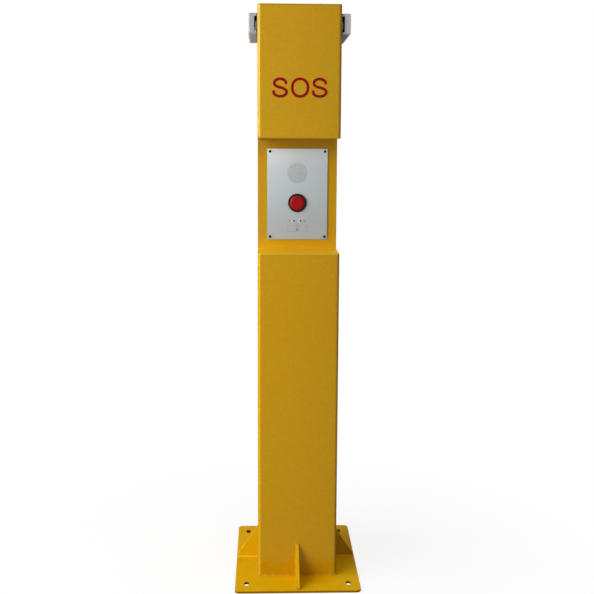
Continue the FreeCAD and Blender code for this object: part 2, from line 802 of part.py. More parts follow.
def board_components():
    parts = [
        board_block(-0.45, 0.28, CHIP_SIDE, CHIP_T),
        board_block(0.02, 0.03, CHIP_SIDE, CHIP_T),
        board_block(0.55, -0.38, RELAY_SIDE, RELAY_H),
    ]
    x = -0.71 * BOARD_HALF_W
    step = 2 * CAPACITOR_R + CAPACITOR_GAP
    for place in (0, 1):
        z = PANEL_Z + 0.52 * BOARD_HALF_H + step * place
        parts.append(rod_y(x, z, CAPACITOR_R, BOARD_FACE_Y - RELAY_H, BOARD_FACE_Y))
    return group(parts)


def board_terminals():
    face = BOARD_FACE_Y
    pitch = BOARD_TERMINAL_PITCH
    half = BOARD_TERMINAL_COUNT * pitch / 2
    z0 = PANEL_Z - BOARD_HALF_H + BOARD_TERMINAL_RISE
    strip = block(-half, half, face - 12, face, z0, z0 + pitch)
    for step in range(BOARD_TERMINAL_COUNT):
        x = -half + pitch * (step + 0.5)
        strip = strip.cut(rod_y(x, z0 + 0.6 * pitch, 2.2, face - 13, face - 8))
    return strip


def cable_gland():
    x, y, z = gland_place()
    barrel = rod_z(x, y, 8, z - 6, z + BOX_SHEET + 8)
    collar = rod_z(x, y, 12, z - 6, z)
    dome = Part.makeCone(7, 10.5, 10, Vector(x, y, z - 16), Vector(0, 0, 1))
    nut = rod_z(x, y, 11, z + BOX_SHEET, z + BOX_SHEET + 4)
    return barrel.fuse(collar).fuse(dome).fuse(nut)


# Side lamps, drawn on the +X side

def lamp_outline(x0, x1, y0, y1):
    return block(x0, x1, y0, y1, LAMP_LOW, LAMP_TOP)


def lamp_slot(y0, y1):
    return block(
        LAMP_SLOT_IN, LAMP_SLOT_OUT,
        y0, y1,
        LAMP_LOW + LAMP_SLOT_LOW, LAMP_TOP - LAMP_SLOT_TOP,
    )


def lamp_profile():
    # Extruded bar: a slot for the fixing nuts next to the column, a lamp chamber outside it.
    end = LAMP_LEN / 2 - LAMP_CAP_T
    bar = lamp_outline(SIDE, LAMP_BODY_OUT, -end, end)
    bar = bar.cut(lamp_slot(-end - 1, end + 1))
    chamber = block(
        LAMP_SLOT_OUT + 2, LAMP_BODY_OUT + 1,
        -end - 1, end + 1,
        LAMP_LOW + 3, LAMP_TOP - 3,
    )
    bar = bar.cut(chamber)
    for y in (-LAMP_BOLT_Y, LAMP_BOLT_Y):
        bar = bar.cut(rod_x(y, LAMP_MID_Z, LAMP_BOLT_R + SCREW_CLEARANCE, SIDE - 1, LAMP_SLOT_IN + 1))
    return bar.cut(rod_x(0, LAMP_MID_Z, LAMP_CABLE_R, SIDE - 1, LAMP_SLOT_OUT + 3))


def lamp_end_bevel(end, edge_z):
    # Sloping cut along the upper or lower edge of a cap's outward face.
    out = math.copysign(1, end)
    up = math.copysign(1, edge_z - LAMP_MID_Z)
    on_face = Vector(SIDE - 1, end, edge_z - up * LAMP_CAP_BEVEL_H)
    on_edge = Vector(SIDE - 1, end - out * LAMP_CAP_BEVEL_T, edge_z)
    past = (on_face - on_edge) * 0.5
    corner = Vector(SIDE - 1, end + out * LAMP_CAP_BEVEL_T, edge_z + up * LAMP_CAP_BEVEL_H)
    points = [on_face + past, on_edge - past, corner]
    return prism(points, Vector(LAMP_BODY_OUT - SIDE + 2, 0, 0))


def lamp_end_caps():
    caps = []
    for end in (-LAMP_LEN / 2, LAMP_LEN / 2):
        inner = end - math.copysign(LAMP_CAP_T, end)
        y0 = min(inner, end)
        y1 = max(inner, end)
        cap = lamp_outline(SIDE, LAMP_BODY_OUT, y0, y1)
        for edge_z in (LAMP_LOW, LAMP_TOP):
            cap = cap.cut(lamp_end_bevel(end, edge_z))
        caps.append(cap.cut(lamp_slot(y0 - 1, y1 + 1)))
    return caps


def lamp_lens():
    half = LAMP_LEN / 2
    lens = lamp_outline(LAMP_BODY_OUT, LAMP_OUT, -half, half)
    outer = [edge for edge in lens.Edges if edge.BoundBox.XMin > LAMP_OUT - 0.1]
    lens = lens.makeFillet(LAMP_LENS_R, outer)
    rim = LAMP_LENS_R
    hollow = block(
        LAMP_BODY_OUT - 1, LAMP_OUT - LAMP_LENS_WALL,
        -half + rim, half - rim,
        LAMP_LOW + rim, LAMP_TOP - rim,
    )
    return lens.cut(hollow)


def lamp_board():
    x0 = LAMP_SLOT_OUT + 2
    x1 = x0 + BOARD_T
    end = LAMP_LEN / 2 - LAMP_BOARD_MARGIN
    low = LAMP_MID_Z - LAMP_BOARD_H / 2
    strip = block(x0, x1, -end, end, low, low + LAMP_BOARD_H)
    strip = strip.cut(rod_x(0, LAMP_MID_Z, 3, x0 - 1, x0 + 3))
    for step in range(6):
        y = (step - 2.5) * LAMP_LED_PITCH
        strip = strip.fuse(block(x1, x1 + 1.4, y - 3, y + 3, LAMP_MID_Z - 3, LAMP_MID_Z + 3))
    return strip


def lamp_bolts():
    bolts = []
    for y in (-LAMP_BOLT_Y, LAMP_BOLT_Y):
        shank = rod_x(y, LAMP_MID_Z, LAMP_BOLT_R, SIDE - SHEET, LAMP_SLOT_IN + 5)
        head = rod_x(y, LAMP_MID_Z, 4.5, SIDE - SHEET - 4, SIDE - SHEET)
        bolts.append(shank.fuse(head))
    return bolts


def lamp_slot_nuts():
    nuts = []
    for y in (-LAMP_BOLT_Y, LAMP_BOLT_Y):
        nut = block(
            LAMP_SLOT_IN, LAMP_SLOT_IN + LAMP_NUT_T,
            y - LAMP_NUT_L / 2, y + LAMP_NUT_L / 2,
            LAMP_MID_Z - LAMP_NUT_H / 2, LAMP_MID_Z + LAMP_NUT_H / 2,
        )
        bore = rod_x(y, LAMP_MID_Z, LAMP_BOLT_R + THREAD_CLEARANCE, SIDE, LAMP_SLOT_OUT)
        nuts.append(nut.cut(bore))
    return nuts


def lamp_grommet():
    body = rod_x(0, LAMP_MID_Z, LAMP_CABLE_R - 0.05, SIDE - SHEET, LAMP_SLOT_IN)
    lip = rod_x(0, LAMP_MID_Z, LAMP_CABLE_R + 3, SIDE - SHEET - 2, SIDE - SHEET)
    return body.fuse(lip).cut(rod_x(0, LAMP_MID_Z, 3, SIDE - 10, SIDE + 10))


def both_sides(solids):
    return group(solids + [mirrored(solid) for solid in solids])


# Equipment in the lower column

def gear_plate():
    half = GEAR_W / 2
    plate = block(-half, half, GEAR_BACK_Y, GEAR_FRONT_Y, GEAR_Z0, GEAR_Z1)
    plate = rounded(plate, 6, Vector(0, 1, 0))
    for x, z in gear_fixing_points():
        plate = plate.cut(rod_y(x, z, 3.3, GEAR_BACK_Y - 1, GEAR_FRONT_Y + 1))
    return plate


def gear_studs():
    wall = FRONT + SHEET
    studs = []
    for x, z in gear_fixing_points():
        spacer = rod_y(x, z, 6, wall, GEAR_BACK_Y)
        stud = rod_y(x, z, 3, GEAR_BACK_Y, GEAR_FRONT_Y + 8)
        nut = hexagon_y(x, z, 10, GEAR_FRONT_Y, GEAR_FRONT_Y + 5)
        studs.append(spacer.fuse(stud).fuse(nut))
    return group(studs)


def mounting_rail(z):
    # Top-hat section: two edge flanges joined by a channel that lies on the gear plate.
    x = -RAIL_LEN / 2
    y0 = GEAR_FRONT_Y
    y1 = RAIL_FACE_Y
    edge = RAIL_H / 2
    web = edge - RAIL_FLANGE
    half_section = [
        (y0 + RAIL_T, web - RAIL_T),
        (y1, web - RAIL_T),
        (y1, edge),
        (y1 - RAIL_T, edge),
        (y1 - RAIL_T, web),
        (y0, web),
    ]
    upper = [Vector(x, y, z + rise) for y, rise in half_section]
    lower = [Vector(x, y, z - rise) for y, rise in reversed(half_section)]
    return prism(upper + lower, Vector(RAIL_LEN, 0, 0))


def rail_unit(x0, x1, z, height, depth):
    # A rail-mounted case with lips that hook behind both edges of the rail.
    y0 = RAIL_FACE_Y
    case = rounded(block(x0, x1, y0, y0 + depth, z - height / 2, z + height / 2), 2, Vector(1, 0, 0))
    edge = RAIL_H / 2
    hook = block(x0 + 0.5, x1 - 0.5, y0 - 2.5, y0 + 1, z - edge - 3, z + edge + 3)
    groove = edge + SEAT_CLEARANCE
    hook = hook.cut(block(x0, x1, y0 - RAIL_T - SEAT_CLEARANCE, y0, z - groove, z + groove))
    mouth = edge - 2
    hook = hook.cut(block(x0, x1, y0 - 3, y0, z - mouth, z + mouth))
    return case.fuse(hook)


def power_supply():
    x0 = RAIL_END_X + UNIT_GAP
    x1 = x0 + SUPPLY_W
    unit = rail_unit(x0, x1, UPPER_RAIL_Z, SUPPLY_H, SUPPLY_DEPTH)
    face = RAIL_FACE_Y + SUPPLY_DEPTH
    for step in range(7):
        z = UPPER_RAIL_Z - 18 + 6 * step
        unit = unit.cut(block(x0 + 10, x1 - 10, face - 2, face + 1, z, z + 2.5))
    return unit


def call_controller():
    x0 = RAIL_END_X + SUPPLY_W + 2 * UNIT_GAP
    unit = rail_unit(x0, x0 + CONTROLLER_W, UPPER_RAIL_Z, CONTROLLER_H, CONTROLLER_DEPTH)
    face = RAIL_FACE_Y + CONTROLLER_DEPTH
    low = UPPER_RAIL_Z - CONTROLLER_H / 2
    high = UPPER_RAIL_Z + CONTROLLER_H / 2
    sockets = block(x0 + 7, x0 + 23, face - 6, face + 1, low + 7, low + 21)
    strip = block(x0 + 29, x0 + 67, face - 3, face + 1, high - 15, high - 5)
    return unit.cut(sockets).cut(strip)


def surge_arrester():
    x0 = RAIL_END_X + UNIT_GAP
    unit = rail_unit(x0, x0 + ARRESTER_W, LOWER_RAIL_Z, ARRESTER_H, ARRESTER_DEPTH)
    face = RAIL_FACE_Y + ARRESTER_DEPTH
    reach = ARRESTER_H / 2 - 8
    for z in (LOWER_RAIL_Z - reach, LOWER_RAIL_Z + reach):
        for x in (x0 + ARRESTER_W / 4, x0 + 3 * ARRESTER_W / 4):
            unit = unit.cut(rod_y(x, z, 3, face - 4, face + 1))
    return unit


def terminal_strip():
    first = RAIL_END_X + ARRESTER_W + 2 * UNIT_GAP
    face = RAIL_FACE_Y + TERMINAL_DEPTH
    reach = TERMINAL_H / 2 - 10
    strip = []
    for step in range(TERMINAL_COUNT):
        x0 = first + step * (TERMINAL_W + TERMINAL_GAP)
        unit = rail_unit(x0, x0 + TERMINAL_W, LOWER_RAIL_Z, TERMINAL_H, TERMINAL_DEPTH)
        for z in (LOWER_RAIL_Z - reach, LOWER_RAIL_Z + reach):
            unit = unit.cut(rod_y(x0 + TERMINAL_W / 2, z, 2, face - 5, face + 1))
        strip.append(unit)
    return group(strip)


def earth_stud():
    x = -SIDE + 35
    y = 100.0
    foot = rod_z(x, y, 8, BASE_TOP, BASE_TOP + 4)
    stud = rod_z(x, y, 4, BASE_TOP, BASE_TOP + 30)
    washer = rod_z(x, y, 9, BASE_TOP + 12, BASE_TOP + 14)
    nut = rod_z(x, y, 6.8, BASE_TOP + 14, BASE_TOP + 20)
    return foot.fuse(stud).fuse(washer).fuse(nut)


# Steelwork
save("base_plate", base_plate())
save("column_shell", column_shell())
save("recess_insert", recess_insert())
save("top_cap", top_cap())
save("gusset_right", placed_gusset(side_gusset_length(), 0, SIDE, 0))
save("gusset_left", placed_gusset(side_gusset_length(), 180, -SIDE, 0))
save("gusset_rear", placed_gusset(end_gusset_length(), 90, 0, BACK))
save("gusset_front", placed_gusset(end_gusset_length(), -90, 0, FRONT))

# Rear cover
save("rear_cover", rear_cover())
save("rear_cover_gasket", rear_cover_gasket())
save("rear_cover_screws", rear_cover_screws())
save("rear_cover_nuts", rear_cover_nuts())

# Intercom
save("intercom_panel", intercom_panel())
save("panel_gasket", panel_gasket())
save("panel_back_box", back_box())
save("panel_screws", panel_screws())
save("panel_nuts", panel_nuts())
save("speaker_gasket", speaker_gasket())
save("speaker_frame", speaker_frame())
save("speaker_cone", speaker_cone())
save("speaker_magnet", speaker_magnet())
save("speaker_fixings", speaker_fixings())
save("button_bezel", button_bezel())
save("button_cap", button_cap())
save("button_clip", button_clip())
save("button_spring", button_spring())
save("button_nut", button_nut())
save("contact_holder", contact_holder())
save("contact_block", contact_block())
save("indicator_bezels", group([indicator_bezel(-INDICATOR_X), indicator_bezel(INDICATOR_X)]))
save("indicator_lens_red", indicator_lens(-INDICATOR_X))
save("indicator_lens_green", indicator_lens(INDICATOR_X))
save("microphone", microphone())
save("microphone_boot", microphone_boot())
save("circuit_board", circuit_board())
save("board_standoffs", board_standoffs())
save("board_screws", board_screws())
save("board_components", board_components())
save("board_terminals", board_terminals())
save("cable_gland", cable_gland())

# Side lamps
save("lamp_profile_right", lamp_profile())
save("lamp_profile_left", mirrored(lamp_profile()))
save("lamp_lens_right", lamp_lens())
save("lamp_lens_left", mirrored(lamp_lens()))
save("lamp_board_right", lamp_board())
save("lamp_board_left", mirrored(lamp_board()))
save("lamp_end_caps", both_sides(lamp_end_caps()))
save("lamp_bolts", both_sides(lamp_bolts()))
save("lamp_slot_nuts", both_sides(lamp_slot_nuts()))
save("lamp_grommets", both_sides([lamp_grommet()]))

# Equipment in the lower column
save("gear_plate", gear_plate())
save("gear_plate_studs", gear_studs())
save("mounting_rails", group([mounting_rail(UPPER_RAIL_Z), mounting_rail(LOWER_RAIL_Z)]))
save("power_supply", power_supply())
save("call_controller", call_controller())
save("surge_arrester", surge_arrester())
save("terminal_strip", terminal_strip())
save("earth_stud", earth_stud())
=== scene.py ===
import json
import math
import random
from collections import namedtuple

import bmesh
import bpy
from mathutils import Matrix, Vector

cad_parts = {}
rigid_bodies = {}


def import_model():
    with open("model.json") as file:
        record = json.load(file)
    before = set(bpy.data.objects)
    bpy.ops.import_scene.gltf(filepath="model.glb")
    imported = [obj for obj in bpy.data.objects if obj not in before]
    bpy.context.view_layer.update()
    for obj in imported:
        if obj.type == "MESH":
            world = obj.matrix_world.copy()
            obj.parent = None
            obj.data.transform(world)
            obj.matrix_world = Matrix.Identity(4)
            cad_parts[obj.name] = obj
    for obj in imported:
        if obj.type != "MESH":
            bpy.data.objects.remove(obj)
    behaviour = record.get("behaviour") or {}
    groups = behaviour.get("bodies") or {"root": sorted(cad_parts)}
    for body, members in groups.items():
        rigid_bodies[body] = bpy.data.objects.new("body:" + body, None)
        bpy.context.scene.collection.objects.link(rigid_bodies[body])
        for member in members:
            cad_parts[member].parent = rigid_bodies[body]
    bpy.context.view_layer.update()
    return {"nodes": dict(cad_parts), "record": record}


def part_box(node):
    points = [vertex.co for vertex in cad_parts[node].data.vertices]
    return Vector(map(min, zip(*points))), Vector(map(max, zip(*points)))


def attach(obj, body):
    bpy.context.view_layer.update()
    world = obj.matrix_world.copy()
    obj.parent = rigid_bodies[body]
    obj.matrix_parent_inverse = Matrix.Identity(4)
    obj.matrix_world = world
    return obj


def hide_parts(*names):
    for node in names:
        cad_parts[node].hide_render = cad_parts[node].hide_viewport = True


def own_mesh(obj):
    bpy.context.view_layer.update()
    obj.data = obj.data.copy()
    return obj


# Looks of the emergency call column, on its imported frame. Metres, in the frame's axes:
# +Z up, front faces -Y, origin under the centre of the anchor plate.

RANDOM_SEED = 7

for leftover in list(bpy.data.objects):
    bpy.data.objects.remove(leftover, do_unlink=True)
random.seed(RANDOM_SEED)
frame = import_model()

# Sizes of the part that its boxes don't give
SHEET = 0.003
COLUMN_BEND_R = 0.010
SLOT_INSET = (0.036, 0.052)
SLOT_HALF = (0.0075, 0.0140)
BUTTON_FLAT_R = 0.0185

# Places that the frame's own boxes give
plate_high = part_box("base_plate")[1]
shell_low, shell_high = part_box("column_shell")
recess_low, recess_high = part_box("recess_insert")
panel_low, panel_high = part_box("intercom_panel")
bezel_low, bezel_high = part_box("button_bezel")
lamp_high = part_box("lamp_end_caps")[1]

PLATE_TOP_Z = plate_high.z
PLATE_HALF = (plate_high.x, plate_high.y)
COLUMN_HALF_W = shell_high.x
COLUMN_FRONT_Y = shell_low.y
SEAM_Z = shell_high.z
LEDGE_Z = recess_low.z + SHEET
HEAD_LOW_Z = recess_high.z - SHEET
PANEL_HALF_W = panel_high.x
PANEL_FRONT_Y = panel_low.y
PANEL_LOW_Z = panel_low.z
PANEL_TOP_Z = panel_high.z
BUTTON_Z = (bezel_low.z + bezel_high.z) / 2
LAMP_HIGH_Z = lamp_high.z

# Camera, solved from the photograph's edges
CAMERA_POINT = Vector((-0.1045, -3.1168, 1.3638))
CAMERA_YAW_DEG = 1.937
CAMERA_PITCH_DEG = 8.703
CAMERA_ROLL_DEG = -0.276
CAMERA_FOCAL_PX = 978.7
CAMERA_CLIP = (0.05, 200.0)
IMAGE_PX = 594.0
SENSOR_MM = 36.0

# Lamps: degrees left of the front and above the ground, metres away, width, height and watts
Lamp = namedtuple("Lamp", "name left_deg up_deg distance width height power")
LAMPS = (
    Lamp("key_softbox", 42.0, 12.0, 3.4, 2.2, 2.4, 76.0),
    Lamp("high_softbox", 72.0, 42.0, 3.6, 2.0, 2.0, 33.0),
    Lamp("side_strip", 86.0, 22.0, 3.0, 0.28, 1.3, 25.0),
    Lamp("top_softbox", 20.0, 82.0, 3.4, 2.4, 2.4, 22.0),
    Lamp("shine_card", 54.0, 23.0, 2.5, 1.8, 0.9, 38.0),
)
LAMP_AIM = Vector((0.0, 0.0, 0.9))
SHINE_ONLY = "shine_card"
SHINE_COLOUR = (0.50, 0.75, 1.0)

# World: an even fill, and a glow low behind the column on its right
WORLD_FILL = 0.29
REAR_GLOW = 1.8
REAR_GLOW_SIDE = (0.6, 0.8, 0.0)
REAR_GLOW_EDGE = 0.45
REAR_GLOW_TOP = (0.18, 0.32)

# Floor: its own white grows from a share to full between two distances from the middle,
# and light that reaches the object comes off it as off a grey of FLOOR_BOUNCE
FLOOR_HALF = 60.0
FLOOR_DROP = 0.0005
FLOOR_NEAR = 0.35
FLOOR_FAR = 1.1
FLOOR_NEAR_SHARE = 0.86
FLOOR_BOUNCE = 0.32
UNDER_PLATE_INSET = 0.006
UNDER_PLATE_EDGE = 0.004
UNDER_PLATE_BLUR = 0.05

# Welds
BEAD_LEG = 0.0050
GUSSET_BEAD_LEG = 0.0030
BEAD_STEP = 0.0013
BEAD_RIPPLE = 0.0052
BEAD_SINK = 0.0002
BEAD_RUN_ON = 0.002
BEND_STEPS = 8

# Section of a bead: degrees from one surface to the other, and reach as a share of its width
BEAD_SECTION = ((0, 1.0), (22, 0.83), (45, 0.76), (68, 0.83), (90, 1.0))

# How a bead's width varies, in shares of its leg, with waves in radians to a metre
BEAD_JITTER = 0.10
BEAD_END_SHARE = 0.35
GUSSET_BEAD_MEAN = 0.88
GUSSET_BEAD_WAVE = 0.14
GUSSET_WAVE_RATE = 130
GUSSET_RIPPLE_SHARE = 0.14
FOOT_BEAD_MEAN = 0.84
FOOT_BEAD_WAVES = ((0.10, 31), (0.07, 83))
FOOT_LUMP_SHARE = 0.22
FOOT_LUMP_RATES = (190, 47)
FOOT_RIPPLE_SHARE = 0.20

# Letters on the head
LETTER_H = 0.059
LETTER_STROKE = 0.0081
LETTER_Z = 1.5384
LETTER_FILM = 0.0003
LETTER_X = (-0.0575, 0.0020, 0.0601)
S_WIDTH = 0.0468
S_UPPER_W_SHARE = 0.90
S_UPPER_H_SHARE = 0.475
S_LOWER_H_SHARE = 0.490
S_UPPER_SWEEP_DEG = 240
S_LOWER_START_DEG = 60
S_LOWER_SWEEP_DEG = -248
S_ARC_STEPS = 32
O_WIDTH = 0.0550
O_SQUARENESS = 0.93
O_STEPS = 72
CAP_STEPS = 10

# Printed marks on the panel, from the microphone's and an indicator's middle
PRINT_FILM = 0.00008
MIC_FRAME_HALF_W = 0.0315
MIC_FRAME_DOWN = 0.0060
MIC_FRAME_UP = 0.0125
MIC_FRAME_LINE = 0.00025
MIC_FRAME_CORNER = 0.0015
MIC_SIGN_UP = 0.0130
MIC_SIGN_R = 0.0042
MIC_STEM_UP = (0.0082, 0.0046)
MIC_RING_R = 0.0030
MIC_RING_LINE = 0.0010
SIGN_LINE = 0.0004
RAY_OUT = 0.0120
RAY_R = (0.0026, 0.0030)
RAY_HALF_DEG = 50
RAY_STEPS = 8
RAY_LINE = 0.0006
DOT_IN = 0.0008
DOT_R = 0.0011
DOT_LINE = 0.0007
RING_STEPS = 28
DOT_STEPS = 16
CORNER_STEPS = 4

# Spring under the button's cap
SPRING_WIRE_R = 0.0008
SPRING_TURNS = 4
SPRING_TURN_STEPS = 32
SPRING_SIDES = 10

# Angles above which an edge stays sharp
WELD_SHARP_DEG = 50.0
FILM_SHARP_DEG = 30.0
SPRING_SHARP_DEG = 60.0

# Nodes that don't wear the look of their material slot
OWN_LOOKS = {
    "base_plate": "scuffed_paint",
    "gusset_front": "scuffed_paint",
    "gusset_rear": "scuffed_paint",
    "gusset_left": "scuffed_paint",
    "gusset_right": "scuffed_paint",
    "recess_insert": "recess_paint",
    "lamp_end_caps": "lamp_caps",
}


def srgb(red, green, blue):
    """Linear colour of an 8-bit screen colour."""
    values = []
    for value in (red, green, blue):
        part = value / 255
        if part <= 0.04045:
            values.append(part / 12.92)
        else:
            values.append(((part + 0.055) / 1.055) ** 2.4)
    return (values[0], values[1], values[2], 1.0)


def darker(colour, share):
    """The same colour with a share of its light."""
    return tuple(share * value for value in colour[:3]) + (1.0,)


# Material building blocks

WHITE = (1.0, 1.0, 1.0, 1.0)
PATTERN_LOW = 0.3
PATTERN_HIGH = 0.7
GRAIN_ACROSS = (0.02, 1.0, 1.0)
BEVEL_SAMPLES = 6
BEND_BLUR = 0.001

# Cosine of an edge's rounding where it counts in full, and where it stops counting
EDGE_COSINE = (0.82, 0.99)

# Where the slots' wall colour ends, in half sizes of a slot from its middle
SLOT_REACH = (1.25, 1.30)


def start_look(name, colour, roughness, metallic=0.0, specular=0.5):
    """A new material with its node tree and shader, in one even colour."""
    look = bpy.data.materials.new("look_" + name)
    look.use_nodes = True
    look.diffuse_color = colour
    shader = look.node_tree.nodes["Principled BSDF"]
    shader.inputs["Base Color"].default_value = colour
    shader.inputs["Roughness"].default_value = roughness
    shader.inputs["Metallic"].default_value = metallic
    shader.inputs["Specular IOR Level"].default_value = specular
    return look, look.node_tree, shader


def put(tree, value, socket):
    """Sets a socket to a constant, or links another node's output to it."""
    if isinstance(value, bpy.types.NodeSocket):
        tree.links.new(value, socket)
    else:
        socket.default_value = value


def calculate(tree, operation, first, second=0.0):
    """Result of one step of arithmetic between numbers."""
    node = tree.nodes.new("ShaderNodeMath")
    node.operation = operation
    put(tree, first, node.inputs[0])
    put(tree, second, node.inputs[1])
    return node.outputs["Value"]


def multiply(tree, first, second):
    return calculate(tree, "MULTIPLY", first, second)


def calculate_vector(tree, operation, first, second=(0.0, 0.0, 0.0)):
    """Result of one step of arithmetic between vectors: a vector, or a number for a length or dot."""
    node = tree.nodes.new("ShaderNodeVectorMath")
    node.operation = operation
    put(tree, first, node.inputs[0])
    put(tree, second, node.inputs[1])
    is_number = operation in ("LENGTH", "DOT_PRODUCT")
    return node.outputs["Value" if is_number else "Vector"]


def part_place(tree):
    """The shaded point's own place on the part."""
    return tree.nodes.new("ShaderNodeTexCoord").outputs["Object"]


def along(tree, axis, vector=None):
    """One coordinate of a vector, or of the shaded point's place."""
    split = tree.nodes.new("ShaderNodeSeparateXYZ")
    put(tree, part_place(tree) if vector is None else vector, split.inputs["Vector"])
    return split.outputs[axis]


def pattern(tree, scale, detail=2.0, stretch=(1.0, 1.0, 1.0)):
    """Noise fixed to the part, about 1 / scale metres from spot to spot."""
    mapping = tree.nodes.new("ShaderNodeMapping")
    noise = tree.nodes.new("ShaderNodeTexNoise")
    mapping.inputs["Scale"].default_value = stretch
    noise.inputs["Scale"].default_value = scale
    noise.inputs["Detail"].default_value = detail
    tree.links.new(part_place(tree), mapping.inputs["Vector"])
    tree.links.new(mapping.outputs["Vector"], noise.inputs["Vector"])
    return noise.outputs["Fac"]


def ramp(tree, value, start, end, low=0.0, high=1.0):
    """Goes from low to high while the value goes from start to end, and stays level beyond."""
    node = tree.nodes.new("ShaderNodeMapRange")
    node.inputs["From Min"].default_value = start
    node.inputs["From Max"].default_value = end
    node.inputs["To Min"].default_value = low
    node.inputs["To Max"].default_value = high
    tree.links.new(value, node.inputs["Value"])
    return node.outputs["Result"]


def spread(tree, noise, low, high):
    """Maps a pattern's middle range to low..high."""
    return ramp(tree, noise, PATTERN_LOW, PATTERN_HIGH, low, high)


def mix(tree, factor, first, second):
    """The first colour, with the second over it by the factor."""
    node = tree.nodes.new("ShaderNodeMixRGB")
    put(tree, factor, node.inputs["Fac"])
    put(tree, first, node.inputs["Color1"])
    put(tree, second, node.inputs["Color2"])
    return node.outputs["Color"]


def rounded_normal(tree, radius):
    """The surface's direction as if its edges were rounded."""
    bevel = tree.nodes.new("ShaderNodeBevel")
    bevel.inputs["Radius"].default_value = radius
    bevel.samples = BEVEL_SAMPLES
    return bevel.outputs["Normal"]


def edge_mask(tree, radius, amount):
    """Rises to an amount on edges that a bevel of that radius would round, 0 on flat areas."""
    flat = tree.nodes.new("ShaderNodeNewGeometry").outputs["True Normal"]
    turn = calculate_vector(tree, "DOT_PRODUCT", rounded_normal(tree, radius), flat)
    return ramp(tree, turn, EDGE_COSINE[0], EDGE_COSINE[1], amount, 0.0)


def front_bend(tree, side, start_in, end_in):
    """Rises from 0 to 1 between two distances in from one side of the column, on its front bend."""
    across = ramp(tree, along(tree, "X"), side * (COLUMN_HALF_W - start_in), side * (COLUMN_HALF_W - end_in))
    bend_end = COLUMN_FRONT_Y + COLUMN_BEND_R
    near = ramp(tree, along(tree, "Y"), bend_end - BEND_BLUR, bend_end, 1.0, 0.0)
    return multiply(tree, across, near)


def slot_walls(tree):
    """1 inside the anchor slots, below the plate's top."""
    middle = (PLATE_HALF[0] - SLOT_INSET[0], PLATE_HALF[1] - SLOT_INSET[1], 0.0)
    size = (SLOT_HALF[0], SLOT_HALF[1], 1.0)
    flat = calculate_vector(tree, "MULTIPLY", part_place(tree), (1.0, 1.0, 0.0))
    offset = calculate_vector(tree, "SUBTRACT", calculate_vector(tree, "ABSOLUTE", flat), middle)
    reach = calculate_vector(tree, "LENGTH", calculate_vector(tree, "DIVIDE", offset, size))
    inside = ramp(tree, reach, SLOT_REACH[0], SLOT_REACH[1], 1.0, 0.0)
    below = ramp(tree, along(tree, "Z"), PLATE_TOP_Z - 0.0012, PLATE_TOP_Z - 0.0004, 1.0, 0.0)
    return multiply(tree, inside, below)


def surface(tree, shader, colour, roughness=None):
    """Gives the shader its finished colour, and its roughness where that varies."""
    tree.links.new(colour, shader.inputs["Base Color"])
    if roughness is not None:
        tree.links.new(roughness, shader.inputs["Roughness"])


def relief(tree, shader, height, strength, depth, rounding=None):
    """Fine bumps, on edges that look rounded where a radius is given."""
    bump = tree.nodes.new("ShaderNodeBump")
    bump.inputs["Strength"].default_value = strength
    bump.inputs["Distance"].default_value = depth
    tree.links.new(height, bump.inputs["Height"])
    if rounding:
        tree.links.new(rounded_normal(tree, rounding), bump.inputs["Normal"])
    tree.links.new(bump.outputs["Normal"], shader.inputs["Normal"])


def seen_directly(tree):
    """1 for what the camera sees straight, in a mirror or through glass, 0 for light on the object."""
    rays = tree.nodes.new("ShaderNodeLightPath")
    seen = calculate(tree, "MAXIMUM", rays.outputs["Is Camera Ray"], rays.outputs["Is Glossy Ray"])
    return calculate(tree, "MAXIMUM", seen, rays.outputs["Is Transmission Ray"])


def blend_shaders(tree, factor, first, second, output):
    """Ends a tree in a mix of two shaders."""
    node = tree.nodes.new("ShaderNodeMixShader")
    tree.links.new(factor, node.inputs["Fac"])
    tree.links.new(first, node.inputs[1])
    tree.links.new(second, node.inputs[2])
    tree.links.new(node.outputs["Shader"], tree.nodes[output].inputs["Surface"])


# Paints

def painted(name, roughness, specular, dull, bright):
    """Start of a yellow powder coat, cloudy and specked, with its colour so far."""
    look, tree, shader = start_look(name, dull, roughness, specular=specular)
    clouds = spread(tree, pattern(tree, 5.0, 3.0), 0.0, 1.0)
    body = mix(tree, clouds, dull, bright)
    specks = ramp(tree, pattern(tree, 900.0, 2.0), 0.55, 0.8, 0.0, 0.03)
    body = mix(tree, specks, body, srgb(224, 184, 60))
    return look, tree, shader, body


